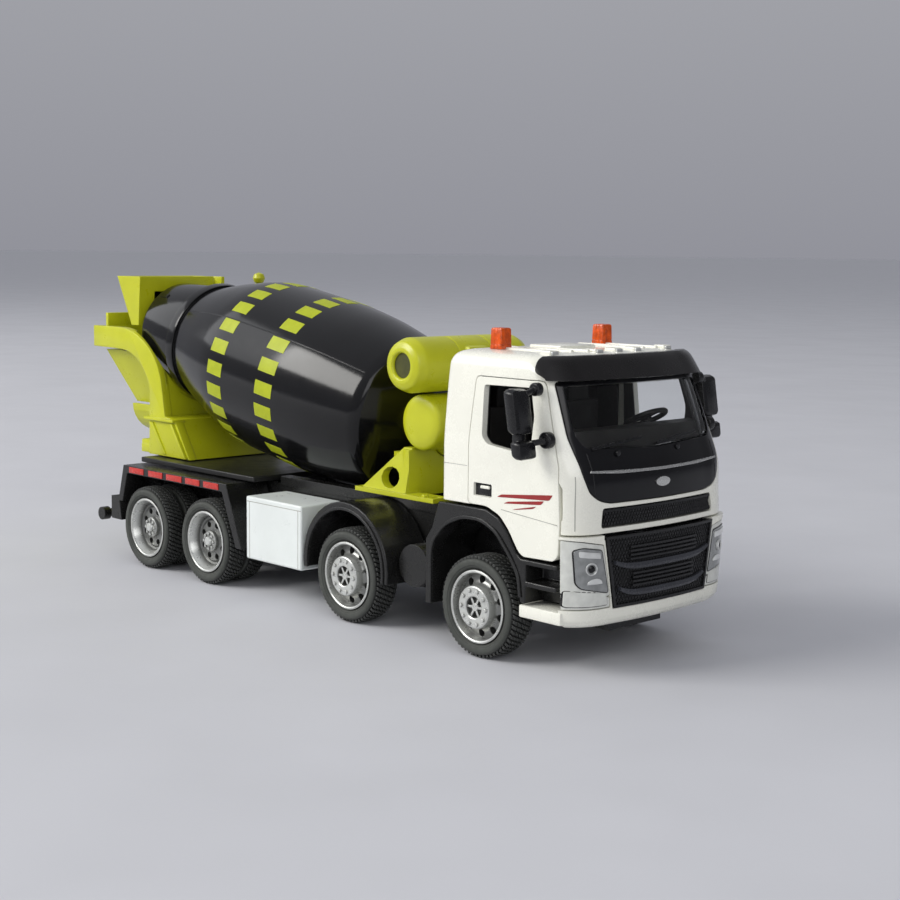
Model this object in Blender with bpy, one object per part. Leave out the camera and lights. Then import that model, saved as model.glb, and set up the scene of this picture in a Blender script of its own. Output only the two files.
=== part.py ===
"""Toy cement mixer: an eight-wheel truck with a turning drum, at about 1:50.

Lengths are in millimetres, and X is measured from the front axle: forward is +X, the truck's
left side is +Y, up is +Z and the ground is Z = 0. piece() carries each finished part into the
model's own frame, in metres, whose origin is on the ground under the middle of the truck.
"""

import math

import bmesh
import bpy
from mathutils import Matrix, Vector

MM = 0.001
GAP = 0.3
FRONT_AXLE_X = 65.95
SIDES = {"right": -1, "left": 1}
# Cutters that pass right through the truck reach this far out, and this far forward.
BEYOND_SIDE = 30.0
BEYOND_NOSE = 40.0

# Wheels
AXLES = (0.0, -40.8, -94.6, -120.5)
TWIN_AXLES = (-94.6, -120.5)
TYRE_RADIUS = 10.5
AXLE_HEIGHT = TYRE_RADIUS
AXLE_RADIUS = 1.5
TYRE_FACE_Y = 24.75
RIM_RADIUS = 7.6
TYRE_STEPS = 20
RIM_STEPS = 16
SINGLE_WIDTH = 7.0
TWIN_WIDTH = 12.1

# Chassis
RAIL_INNER, RAIL_OUTER = 8.5, 12.0
RAIL_BOTTOM, RAIL_TOP = 18.5, 25.4
RAIL_REAR, RAIL_FRONT = -139.0, 21.0
SIDE_INNER = RAIL_OUTER + 2 * GAP
SIDE_OUTER = 24.6
BASE_BOTTOM, BASE_TOP = 6.9, 8.7
BASE_HALF = 8.2
DECK_TOP = 27.3
DECK_REAR, DECK_FRONT = -131.0, -82.0

# Cab
CAB_REAR = -10.8
SKIN = 1.4
NOSE_CROWN = 0.0042
CORNER_STEPS = 4
REAR_CHAMFER = 1.2
CAB_CORNER = (6.2, 8.5)
CAB_BOTTOM = 28.2
DOOR_HINGE = (21.9, 23.8, 40.0)
DOOR_INNER = 21.9
# Each level of the cab's skin: height, nose, half width, rear, and how far back along the side
# and in along the nose each front corner is rounded.
CAB_LEVELS = (
    (CAB_BOTTOM, 27.6, 24.45, CAB_REAR, CAB_CORNER),
    (33.5, 27.3, 24.4, CAB_REAR, CAB_CORNER),
    (39.6, 26.9, 24.4, CAB_REAR, CAB_CORNER),
    (45.0, 24.8, 24.3, CAB_REAR, CAB_CORNER),
    (57.2, 20.1, 23.1, CAB_REAR, CAB_CORNER),
    (60.0, 18.4, 22.5, CAB_REAR, CAB_CORNER),
    (61.4, 16.9, 21.2, -10.0, CAB_CORNER),
    (62.0, 14.6, 19.0, -8.4, CAB_CORNER),
)
BUMPER_LEVELS = (
    (10.0, 26.6, 23.6, 5.0, (7.0, 9.0)),
    (11.0, 27.6, 24.5, 5.0, (7.0, 9.0)),
    (13.6, 28.05, 24.75, 5.0, (6.8, 8.8)),
    (27.9, 28.1, 24.7, 5.0, (5.2, 6.0)),
)
VISOR_LEVELS = (
    (57.2, 22.0, 24.2, 0.0, (6.6, 8.8)),
    (60.6, 19.8, 23.7, 0.0, (6.6, 8.8)),
    (61.7, 18.8, 22.6, 0.0, (6.6, 8.8)),
)
BUMPER_REAR = 22.2
ROOF_START = 58.0

# Drum: turned about an axis that rises to the rear
DRUM_TILT = math.radians(10)
DRUM_BASE = (-40.0, 0.0, 42.3)
DRUM_AXIS = (-math.cos(DRUM_TILT), 0.0, math.sin(DRUM_TILT))
DRUM_STEPS = 28
DRUM_RADIUS = 21.4
DRUM_HUB = 2.9
BELLY_FRONT, BELLY_REAR = 33.0, 59.0
RING_FRONT, RING_REAR = 82.5, 85.5
RING_RADIUS = 15.7
MOUTH = 102.0
MOUTH_RADIUS = 12.2
SHAFT_RADIUS = 2.4

# Superstructure
TANK_CENTRE = (-31.0, 57.0)
TANK_RADIUS = 6.05
TANK_END = 17.6
GEARBOX_CENTRE = (-31.1, 44.3)
GEARBOX_RADIUS = 6.15
GEARBOX_HALF = 12.0
BOSS_RADIUS = 5.4
CHUTE_PIVOT_X = -136.5
CHUTE_RADIUS = 7.8
CHUTE_AXIS_Z = 39.2
ARM_INNER, ARM_OUTER = 12.6, 15.0


# ---------------------------------------------------------------- shapes


def facing_out(bm):
    bmesh.ops.remove_doubles(bm, verts=bm.verts, dist=1e-4)
    bmesh.ops.recalc_face_normals(bm, faces=bm.faces)
    return bm


def loft(rings):
    """A closed solid through rings that have the same number of points."""
    bm = bmesh.new()
    rows = [[bm.verts.new(point) for point in ring] for ring in rings]
    for low, high in zip(rows, rows[1:]):
        for i in range(len(low)):
            bm.faces.new((low[i - 1], low[i], high[i], high[i - 1]))
    bm.faces.new(rows[0])
    bm.faces.new(rows[-1])
    return facing_out(bm)


def prism(axis, outline, low, high):
    """An outline in the two other axes, in X, Y, Z order, pushed along axis from low to high."""
    at = "XYZ".index(axis)

    def ring(level):
        return [point[:at] + (level,) + point[at:] for point in map(tuple, outline)]

    return loft([ring(low), ring(high)])


def block(x, y, z):
    """A box between the two ends of each range."""
    corners = ((x[0], y[0]), (x[1], y[0]), (x[1], y[1]), (x[0], y[1]))
    return prism("Z", corners, min(z), max(z))


def on_side(side, inner, outer):
    """The Y range from inner to outer on one side of the truck."""
    return (side * inner, side * outer)


def turned(profile, base, axis, steps):
    """A solid of revolution. The profile holds (radius, distance along the axis from base).

    It runs from axis to axis, or it is a closed loop clear of the axis.
    """
    bm = bmesh.new()
    verts = [bm.verts.new((radius, 0.0, along)) for radius, along in profile]
    pairs = list(zip(verts, verts[1:]))
    if profile[0][0] > 0:
        pairs.append((verts[-1], verts[0]))
    edges = [bm.edges.new(pair) for pair in pairs]
    bmesh.ops.spin(
        bm,
        geom=verts + edges,
        axis=(0, 0, 1),
        cent=(0, 0, 0),
        angle=math.tau,
        steps=steps,
        use_merge=True,
    )
    turn = Vector((0, 0, 1)).rotation_difference(Vector(axis)).to_matrix().to_4x4()
    bmesh.ops.transform(bm, matrix=Matrix.Translation(base) @ turn, verts=bm.verts)
    return facing_out(bm)


def rod(start, end, radius, steps=16):
    """A round bar between two points."""
    along = Vector(end) - Vector(start)
    profile = ((0, 0), (radius, 0), (radius, along.length), (0, along.length))
    return turned(profile, start, along.normalized(), steps)


def arc(centre, radii, start, end, steps):
    """Points on an ellipse from one angle to another, in degrees."""
    angles = [math.radians(start + (end - start) * i / steps) for i in range(steps + 1)]
    return [
        (centre[0] + radii[0] * math.cos(a), centre[1] + radii[1] * math.sin(a))
        for a in angles
    ]


def mirrored(half):
    """A whole outline from its +Y half, which starts and ends on the middle plane."""
    inner = [point for point in half if point[0] > 0]
    return half + [(-y, z) for y, z in reversed(inner)]


def grown(outline, distance):
    """An outline with every side moved outwards by a distance."""
    area = sum(
        a[0] * b[1] - b[0] * a[1] for a, b in zip(outline, outline[1:] + outline[:1])
    )
    turn = 1 if area > 0 else -1
    result = []
    for i, point in enumerate(outline):
        here = Vector(point)
        before = (here - Vector(outline[i - 1])).normalized()
        after = (Vector(outline[(i + 1) % len(outline)]) - here).normalized()
        out_before = Vector((before.y, -before.x)) * turn
        out_after = Vector((after.y, -after.x)) * turn
        bisector = (out_before + out_after).normalized()
        moved = here + bisector * distance / max(bisector.dot(out_before), 0.5)
        result.append(tuple(moved))
    return result


# ---------------------------------------------------------------- objects


def finish(name, colour, roughness, metallic=0.0, alpha=1.0):
    material = bpy.data.materials.new(name)
    material.use_nodes = True
    shader = material.node_tree.nodes["Principled BSDF"]
    shader.inputs["Base Color"].default_value = (*colour, 1.0)
    shader.inputs["Roughness"].default_value = roughness
    shader.inputs["Metallic"].default_value = metallic
    shader.inputs["Alpha"].default_value = alpha
    return material


def mesh_object(name, bm):
    mesh = bpy.data.meshes.new(name)
    bm.to_mesh(mesh)
    bm.free()
    obj = bpy.data.objects.new(name, mesh)
    bpy.context.scene.collection.objects.link(obj)
    return obj


def combine(obj, operation, shapes):
    """Applies one Boolean to the object for each shape, and removes the shapes."""
    helpers = [mesh_object("helper", shape) for shape in shapes]
    for helper in helpers:
        modifier = obj.modifiers.new(operation, "BOOLEAN")
        modifier.operation = operation
        modifier.solver = "EXACT"
        modifier.object = helper
    graph = bpy.context.evaluated_depsgraph_get()
    mesh = bpy.data.meshes.new_from_object(obj.evaluated_get(graph))
    obj.modifiers.clear()
    obj.data = mesh
    for helper in helpers:
        bpy.data.objects.remove(helper)


def piece(name, material, shapes, within=(), cuts=(), added=(), origin=(-FRONT_AXLE_X, 0, 0)):
    """One named part: the shapes joined, kept to what is within, cut, and then added to."""
    obj = mesh_object(name, shapes[0])
    combine(obj, "UNION", shapes[1:])
    combine(obj, "INTERSECT", within)
    combine(obj, "DIFFERENCE", cuts)
    combine(obj, "UNION", added)
    mesh = obj.data
    mesh.transform(Matrix.Scale(MM, 4) @ Matrix.Translation(-Vector(origin)))
    mesh.shade_smooth()
    mesh.set_sharp_from_angle(angle=math.radians(32))
    mesh.materials.clear()
    mesh.materials.append(material)
    mesh.name = name
    obj.location = (Vector(origin) + Vector((FRONT_AXLE_X, 0, 0))) * MM
    return obj


# ---------------------------------------------------------------- wheels


def outboard(points):
    """A profile whose distances run inboard from the tyre's outer face, measured outwards."""
    return [(radius, -inboard) for radius, inboard in points]


def tyre_profile(twin):
    """(radius, distance inboard): one tyre, or two side by side with a groove between them."""
    if not twin:
        return [
            (7.9, 0.8),
            (9.6, 0.0),
            (10.3, 0.6),
            (TYRE_RADIUS, 1.4),
            (TYRE_RADIUS, 5.6),
            (10.3, 6.4),
            (9.6, SINGLE_WIDTH),
            (7.9, 6.2),
        ]
    return [
        (7.9, 0.8),
        (9.6, 0.0),
        (10.3, 0.6),
        (TYRE_RADIUS, 1.4),
        (TYRE_RADIUS, 5.0),
        (9.2, 5.7),
        (9.2, 6.4),
        (TYRE_RADIUS, 7.1),
        (TYRE_RADIUS, 10.7),
        (9.6, TWIN_WIDTH),
        (7.9, 11.3),
    ]


def rim_profile(twin):
    """(radius, distance inboard): a raised hub on a shallow dish, or a small hub in a deep one."""
    if not twin:
        return [
            (0, -0.5),
            (4.2, -0.5),
            (4.6, 2.3),
            (6.1, 2.5),
            (6.5, 0.9),
            (7.2, 0.7),
            (RIM_RADIUS, 1.2),
            (RIM_RADIUS, 5.8),
            (6.2, 4.2),
            (1.8, 4.2),
            (1.8, 2.2),
            (0, 2.2),
        ]
    return [
        (0, 1.5),
        (2.3, 1.5),
        (2.6, 2.8),
        (5.0, 3.0),
        (6.6, 1.0),
        (7.2, 0.7),
        (RIM_RADIUS, 1.2),
        (RIM_RADIUS, 10.9),
        (6.0, 7.6),
        (1.8, 7.6),
        (1.8, 5.2),
        (0, 5.2),
    ]


def make_wheelset(number, x, finishes):
    """An axle with a rim and a tyre at each end, all turning together."""
    twin = x in TWIN_AXLES
    centre = (x, 0, AXLE_HEIGHT)
    reach = TYRE_FACE_Y - (5.5 if twin else 2.5)
    piece(
        f"axle_{number}",
        finishes["steel"],
        [rod((x, -reach, AXLE_HEIGHT), (x, reach, AXLE_HEIGHT), AXLE_RADIUS, 12)],
        origin=centre,
    )
    for side_name, side in SIDES.items():
        face = (x, side * TYRE_FACE_Y, AXLE_HEIGHT)
        outwards = (0, side, 0)
        rim = turned(outboard(rim_profile(twin)), face, outwards, RIM_STEPS)
        tyre = turned(outboard(tyre_profile(twin)), face, outwards, TYRE_STEPS)
        piece(f"rim_{number}_{side_name}", finishes["rim"], [rim], origin=centre)
        piece(f"tyre_{number}_{side_name}", finishes["tyre"], [tyre], origin=centre)


# ---------------------------------------------------------------- chassis


def make_chassis(finishes):
    """Two rails with cross members, saddles over the axles, posts and the two air tanks."""
    shapes = [
        block((14, 20), (-9, 9), (19, 24)),
        block((-24, -14), (-9, 9), (19, 24)),
        block((-74, -64), (-9, 9), (19, 24)),
        block((RAIL_REAR, -134), (-9, 9), (19, 24)),
    ]
    for side in SIDES.values():
        rail = on_side(side, RAIL_INNER, RAIL_OUTER)
        shapes.append(block((RAIL_REAR, RAIL_FRONT), rail, (RAIL_BOTTOM, RAIL_TOP)))
        shapes.append(block((-80, -22), on_side(side, 9.2, 12.3), (25, 27.2)))
        shapes.append(block((-8, 9), on_side(side, 8.8, 11.8), (25, 31.3)))
        for x in AXLES:
            saddle = on_side(side, 7, RAIL_OUTER - 0.2)
            over_axle = (AXLE_HEIGHT + AXLE_RADIUS + GAP, 19.5)
            shapes.append(block((x - 3, x + 3), saddle, over_axle))
        tank = (-21.5, side * 11.5, 15.3)
        shapes.append(rod(tank, (-21.5, side * 22.0, 15.3), 4.6, 20))
        shapes.append(block((-24, -19), on_side(side, 11.5, 15), (18, 22)))
    for x in (-19, -69):
        shapes.append(block((x - 3, x + 3), (-3, 3), (BASE_TOP + GAP, 20)))
    piece("chassis_frame", finishes["chassis"], shapes)


def make_base_plate(finishes):
    """The flat plate underneath, with a pair of keepers round each axle."""
    shapes = [block((-126, 21), (-BASE_HALF, BASE_HALF), (BASE_BOTTOM, BASE_TOP))]
    for x in AXLES:
        for way in (-1, 1):
            near = x + way * (AXLE_RADIUS + GAP)
            far = x + way * (AXLE_RADIUS + GAP + 1.8)
            shapes.append(block(sorted((near, far)), (-6.6, 6.6), (8, 12.5)))
    piece("base_plate", finishes["chassis"], shapes)


def make_rear_deck(finishes):
    """The flat deck over the rear wheels, and the bent guard and hanging flap on each side."""
    deck = block((DECK_REAR, DECK_FRONT), (-19, 19), (DECK_TOP - 1.3, DECK_TOP))
    piece("rear_deck", finishes["chassis"], [deck])
    guard = [
        (-133.4, 16.1),
        (-130.7, 25.7),
        (-85.6, 25.7),
        (-79.5, 10.7),
        (-81.7, 10.7),
        (-87.2, 23.7),
        (-129.1, 23.7),
        (-131.4, 16.1),
    ]
    flap = [(-133.2, 17.6), (-136.8, 17.0), (-136.8, 11.0), (-132.0, 11.0)]
    for side_name, side in SIDES.items():
        width = on_side(side, SIDE_INNER, SIDE_OUTER)
        shapes = [prism("Y", guard, *width), prism("Y", flap, *width)]
        piece(f"rear_fender_{side_name}", finishes["chassis"], shapes)


def make_underrun_bar(finishes):
    x, z = -142.0, 11.5
    profile = [(0, -24.5), (1.75, -24.5), (1.75, -22.4), (1.1, -22.4)]
    profile += [(radius, -along) for radius, along in reversed(profile)]
    shapes = [turned(profile, (x, 0, z), (0, 1, 0), 12)]
    for side in SIDES.values():
        bracket = on_side(side, RAIL_INNER, 11.2)
        shapes.append(block((x - 1.7, RAIL_REAR - GAP), bracket, (z - 1.7, 23.5)))
    piece("underrun_bar", finishes["chassis"], shapes)


def make_second_fenders(finishes):
    centre = (-41.4, 12.4)
    band = arc(centre, (14.4, 14.4), -8, 188, 20) + arc(centre, (12.6, 12.6), 188, -8, 20)
    for side_name, side in SIDES.items():
        shape = prism("Y", band, *on_side(side, SIDE_INNER, SIDE_OUTER))
        piece(f"second_fender_{side_name}", finishes["chassis"], [shape])


def make_toolboxes(finishes):
    for side_name, side in SIDES.items():
        box = block((-77.2, -56.4), on_side(side, SIDE_INNER, 24.75), (9.1, 24.0))
        piece(f"toolbox_{side_name}", finishes["box_white"], [box])


def make_front_fenders(finishes):
    """The arch over the front wheel, the flap behind it and the steps in front of it."""
    arch = [
        (-15.0, 9.0),
        (-15.0, 22.5),
        (-13.2, 25.0),
        (-11.2, 30.7),
        (2.4, 30.7),
        (5.9, 29.4),
        (8.3, 27.0),
        (10.8, 23.2),
        (12.3, 22.2),
        (21.7, 22.2),
        (21.7, 13.5),
        (12.2, 13.5),
        (11.4, 18.9),
        (9.0, 22.3),
        (5.3, 26.4),
        (1.1, 28.2),
        (-4.1, 28.1),
        (-9.0, 26.1),
        (-12.3, 22.5),
        (-13.0, 20.0),
        (-13.0, 9.0),
    ]
    for side_name, side in SIDES.items():
        shape = prism("Y", arch, *on_side(side, SIDE_INNER, SIDE_OUTER))
        treads = [
            block((13.6, BEYOND_NOSE), on_side(side, 19.5, BEYOND_SIDE), (17.9, 21.2)),
            block((13.6, BEYOND_NOSE), on_side(side, 19.5, BEYOND_SIDE), (13.2, 16.9)),
        ]
        piece(f"front_fender_{side_name}", finishes["chassis"], [shape], cuts=treads)


# ---------------------------------------------------------------- cab


def cab_plan(z, nose, half_width, rear, corner):
    """One level of the cab: a nearly flat nose, round front corners, chamfered rear corners."""
    straight = half_width - corner[1]
    corner_x = nose - NOSE_CROWN * straight**2 - corner[0]
    half = [(nose - NOSE_CROWN * y * y, y) for y in (0.0, straight / 3, straight * 2 / 3)]
    half += arc((corner_x, straight), corner, 0, 90, CORNER_STEPS)
    half += [(rear + REAR_CHAMFER, half_width), (rear, half_width - REAR_CHAMFER)]
    other = [(x, -y) for x, y in reversed(half[1:])]
    return [(x, y, z) for x, y in half + other]


def cab_solid(levels, inset=0.0, bottom=None):
    """The cab's outer form moved inwards by inset, optionally carried down to another bottom."""
    rings = []
    for i, (z, nose, half_width, rear, corner) in enumerate(levels):
        if i == 0 and bottom is not None:
            z = bottom
        if z > ROOF_START:
            z -= inset
        rings.append(cab_plan(z, nose - inset, half_width - inset, rear + inset, corner))
    return loft(rings)


DOOR_OUTLINE = [
    (-2.7, 31.4),
    (-2.7, 44.0),
    (-1.9, 56.95),
    (15.9, 56.95),
    (21.2, 41.0),
    (21.9, 29.8),
    (21.7, 24.1),
    (20.8, 22.9),
    (12.6, 22.7),
    (11.3, 23.7),
    (8.7, 27.5),
    (6.2, 30.0),
    (2.5, 31.4),
]
WINDOW_OUTLINE = [
    (0.4, 55.4),
    (13.2, 55.6),
    (14.6, 50.0),
    (14.2, 43.0),
    (10.0, 43.0),
    (2.3, 43.8),
    (0.8, 45.2),
]
MASK_HALF = [
    (0.0, 56.9),
    (21.0, 56.9),
    (21.6, 46.5),
    (20.7, 39.5),
    (19.6, 36.2),
    (17.6, 34.7),
    (14.8, 34.0),
    (0.0, 33.9),
]
GLASS_HALF = [(0.0, 56.0), (19.8, 56.0), (20.3, 47.0), (19.0, 44.6), (0.0, 43.8)]
UPPER_GRILLE_HALF = [(0.0, 32.8), (16.5, 32.8), (17.0, 29.4), (0.0, 29.4)]
LOWER_GRILLE_HALF = [(0.0, 27.6), (16.5, 27.6), (14.1, 13.5), (0.0, 13.5)]
HEADLIGHT_OUTLINE = [
    (17.2, 25.5),
    (22.0, 26.2),
    (23.4, 17.4),
    (23.4, 13.8),
    (14.9, 13.8),
    (15.2, 17.0),
]
LARGE_MIRROR_OUTLINE = [
    (31.4, 48.0),
    (31.5, 55.2),
    (30.6, 55.9),
    (27.0, 55.7),
    (26.3, 54.8),
    (26.3, 48.0),
    (27.0, 47.2),
    (30.7, 47.2),
]
SMALL_MIRROR_OUTLINE = [(31.2, 43.2), (31.3, 46.0), (26.4, 46.0), (26.4, 42.6), (30.5, 42.5)]


def across(outline, side):
    """An outline drawn for the left side, on the side that is wanted."""
    return [(side * y, z) for y, z in outline]


def make_cab_shell(finishes):
    """The cab's skin, open below, at the doors and at the front, with five roof lamps."""
    shapes = [cab_solid(CAB_LEVELS)]
    for y, front in ((0, 15.4), (5.9, 15.4), (-5.9, 15.4), (17.4, 13.9), (-17.4, 13.9)):
        shapes.append(block((front - 3, front), (y - 1.3, y + 1.3), (60.6, 62.6)))
    cuts = [
        cab_solid(CAB_LEVELS, SKIN, bottom=20),
        prism("Y", grown(DOOR_OUTLINE, GAP), -BEYOND_SIDE, BEYOND_SIDE),
        block((-20, 22.2), (-BEYOND_SIDE, BEYOND_SIDE), (20, 31.3)),
        prism("X", grown(mirrored(MASK_HALF), GAP), 8, BEYOND_NOSE),
        prism("X", grown(mirrored(UPPER_GRILLE_HALF), GAP), 15, BEYOND_NOSE),
    ]
    piece("cab_shell", finishes["cab_white"], shapes, cuts=cuts)


def hinge_point(side):
    x, y, z = DOOR_HINGE
    return (x, side * y, z)


def make_doors(finishes):
    """A slice of the cab's skin on each side, with a window and a handle recess."""
    for side_name, side in SIDES.items():
        piece(
            f"door_{side_name}",
            finishes["cab_white"],
            [cab_solid(CAB_LEVELS, bottom=20)],
            within=[prism("Y", DOOR_OUTLINE, *on_side(side, DOOR_INNER, BEYOND_SIDE))],
            cuts=[
                cab_solid(CAB_LEVELS, SKIN, bottom=15),
                prism("Y", WINDOW_OUTLINE, *on_side(side, 12, BEYOND_SIDE)),
                block((-1.2, 3.9), on_side(side, 23.7, BEYOND_SIDE), (33.2, 35.8)),
            ],
            origin=hinge_point(side),
        )


def make_mirrors(finishes):
    """Two housings on two arms, carried by each door."""
    for side_name, side in SIDES.items():
        shapes = [
            prism("X", across(LARGE_MIRROR_OUTLINE, side), 14.0, 16.8),
            prism("X", across(SMALL_MIRROR_OUTLINE, side), 14.6, 17.6),
            block((14.6, 16.4), on_side(side, 28, 30), (45.5, 47.8)),
            rod((15.9, side * 24.75, 55.6), (15.9, side * 25.5, 55.6), 1.3, 12),
            block((15.3, 16.5), on_side(side, 25.2, 27.2), (54.9, 56.1)),
            rod((18.9, side * 24.75, 46.1), (18.9, side * 25.5, 46.1), 1.6, 12),
            block((16.5, 19.4), on_side(side, 25.2, 26.9), (45.2, 46.6)),
        ]
        origin = hinge_point(side)
        piece(f"mirror_{side_name}", finishes["trim_black"], shapes, origin=origin)


def make_front_panel(finishes):
    """The black panel round the glass, and the glass set a little behind its face."""
    panel = mirrored(MASK_HALF)
    glass = mirrored(GLASS_HALF)
    glass_opening = prism("X", grown(glass, GAP), 8, BEYOND_NOSE + 1)
    piece(
        "front_panel",
        finishes["gloss_black"],
        [cab_solid(CAB_LEVELS)],
        within=[prism("X", panel, 10, BEYOND_NOSE)],
        cuts=[cab_solid(CAB_LEVELS, SKIN, bottom=20), glass_opening],
    )
    piece(
        "windscreen",
        finishes["glass"],
        [cab_solid(CAB_LEVELS, 0.2)],
        within=[prism("X", glass, 10, BEYOND_NOSE)],
        cuts=[cab_solid(CAB_LEVELS, 1.1, bottom=20)],
    )


def make_grilles(finishes):
    piece(
        "upper_grille",
        finishes["trim_black"],
        [cab_solid(CAB_LEVELS, 0.2)],
        within=[prism("X", mirrored(UPPER_GRILLE_HALF), 15, BEYOND_NOSE)],
        cuts=[cab_solid(CAB_LEVELS, 1.6, bottom=20)],
    )
    piece(
        "lower_grille",
        finishes["trim_black"],
        [cab_solid(BUMPER_LEVELS, -0.3)],
        within=[prism("X", mirrored(LOWER_GRILLE_HALF), 15, BEYOND_NOSE)],
        cuts=[cab_solid(BUMPER_LEVELS, 2.2, bottom=5)],
    )


def make_bumper(finishes):
    """A shell round the lower grille and the headlights, with a step under each door."""
    grille = mirrored(LOWER_GRILLE_HALF)
    inside = (25.8, 22.5, 5.0, BUMPER_LEVELS[0][4])
    cuts = [
        block((0, BUMPER_REAR), (-BEYOND_SIDE, BEYOND_SIDE), (5, 35)),
        prism("X", grown(grille, GAP), 15, BEYOND_NOSE),
        block((15, BEYOND_NOSE), (-16.75, 16.75), (27.0, 35.0)),
        loft([cab_plan(12.4, *inside), cab_plan(35.0, *inside)]),
    ]
    steps = []
    for side in SIDES.values():
        pocket = across(grown(HEADLIGHT_OUTLINE, GAP), side)
        cuts.append(prism("X", pocket, BUMPER_REAR - GAP, BEYOND_NOSE))
        steps.append(block((11.9, 22.9), on_side(side, 18.0, 24.5), (10.6, 13.1)))
    shape = cab_solid(BUMPER_LEVELS)
    piece("bumper", finishes["cab_white"], [shape], cuts=cuts, added=steps)


def make_headlights(finishes):
    for side_name, side in SIDES.items():
        outline = across(HEADLIGHT_OUTLINE, side)
        piece(
            f"headlight_{side_name}",
            finishes["lamp"],
            [cab_solid(BUMPER_LEVELS, 0.1)],
            within=[prism("X", outline, BUMPER_REAR + GAP, BEYOND_NOSE)],
            cuts=[cab_solid(BUMPER_LEVELS, 2.2, bottom=5)],
        )


def make_sun_visor(finishes):
    """A band round the top of the nose, just clear of the cab's skin and its roof lamps."""
    roof = cab_solid(CAB_LEVELS, -GAP, bottom=20)
    behind = block((-5, 14.4), (-BEYOND_SIDE, BEYOND_SIDE), (50, 70))
    piece("sun_visor", finishes["visor"], [cab_solid(VISOR_LEVELS)], cuts=[roof, behind])


def make_beacons(finishes):
    x, z = -2.9, 62.0 + GAP
    for side_name, side in SIDES.items():
        y = side * 15.5
        rings = []
        for height, half in ((0.0, 1.6), (2.8, 1.6), (3.3, 1.3)):
            rings.append(
                [
                    (x - half, y - half, z + height),
                    (x + half, y - half, z + height),
                    (x + half, y + half, z + height),
                    (x - half, y + half, z + height),
                ]
            )
        piece(f"beacon_{side_name}", finishes["orange"], [loft(rings)])


def make_interior(finishes):
    """The cab's floor, dashboard, two seats with headrests, and the boxes over the steps."""
    shapes = [
        block((-9.0, 21.0), (-21.5, 21.5), (31.7, 33.0)),
        block((14.5, 20.5), (-20.5, 20.5), (32.0, 42.0)),
        block((-8.6, 4.0), (-3.5, 3.5), (32.0, 36.5)),
    ]
    for side in SIDES.values():
        shapes.append(block((12.2, 21.2), on_side(side, SIDE_INNER, 21.5), (23.0, 32.0)))
        shapes.append(block((-5.0, 4.5), on_side(side, 5.0, 16.5), (32.0, 37.5)))
        shapes.append(block((-8.0, -4.5), on_side(side, 5.0, 16.5), (32.0, 50.0)))
        shapes.append(block((-7.6, -5.2), on_side(side, 7.5, 14.0), (49.0, 54.0)))
    piece("cab_interior", finishes["interior"], shapes)


def make_steering_wheel(finishes):
    column = Vector((-0.45, 0.0, 0.89)).normalized()
    centre = Vector((13.6, 10.6, 47.0))
    wheel = turned([(3.9, -0.4), (4.7, -0.4), (4.7, 0.4), (3.9, 0.4)], centre, column, 20)
    foot = centre - column * 5.2
    shapes = [
        wheel,
        rod(centre - column * 0.4, centre + column * 0.3, 1.2, 10),
        rod(foot, centre, 0.7, 8),
    ]
    spoke = block((-0.6, 0.6), (-4.2, 4.2), (-0.25, 0.25))
    turn = Vector((0, 0, 1)).rotation_difference(column).to_matrix().to_4x4()
    bmesh.ops.transform(spoke, matrix=Matrix.Translation(centre) @ turn, verts=spoke.verts)
    shapes.append(spoke)
    piece("steering_wheel", finishes["interior"], shapes)


# ---------------------------------------------------------------- drum


def drum_point(along, radius=0.0):
    """The point at a distance along the drum's axis, and a radius below it."""
    down = Vector((-math.sin(DRUM_TILT), 0, -math.cos(DRUM_TILT)))
    return Vector(DRUM_BASE) + Vector(DRUM_AXIS) * along + down * radius


def drum_clearance():
    """The space the turning drum needs, a little over half a millimetre clear all round."""
    clear = 2 * GAP
    profile = [
        (0, DRUM_HUB - clear),
        (7.5, DRUM_HUB - clear),
        (17.9, 6.2),
        (20.0, 14.0),
        (DRUM_RADIUS + clear, BELLY_FRONT - 2),
        (DRUM_RADIUS + clear, BELLY_REAR + 1),
        (RING_RADIUS + 1.3, RING_FRONT - clear),
        (RING_RADIUS + clear, RING_FRONT - clear),
        (RING_RADIUS + clear, RING_REAR + clear),
        (14.9 + clear, RING_REAR + clear),
        (MOUTH_RADIUS + 3 * GAP, MOUTH + clear),
        (0, MOUTH + clear),
    ]
    return turned(profile, DRUM_BASE, DRUM_AXIS, DRUM_STEPS)


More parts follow.
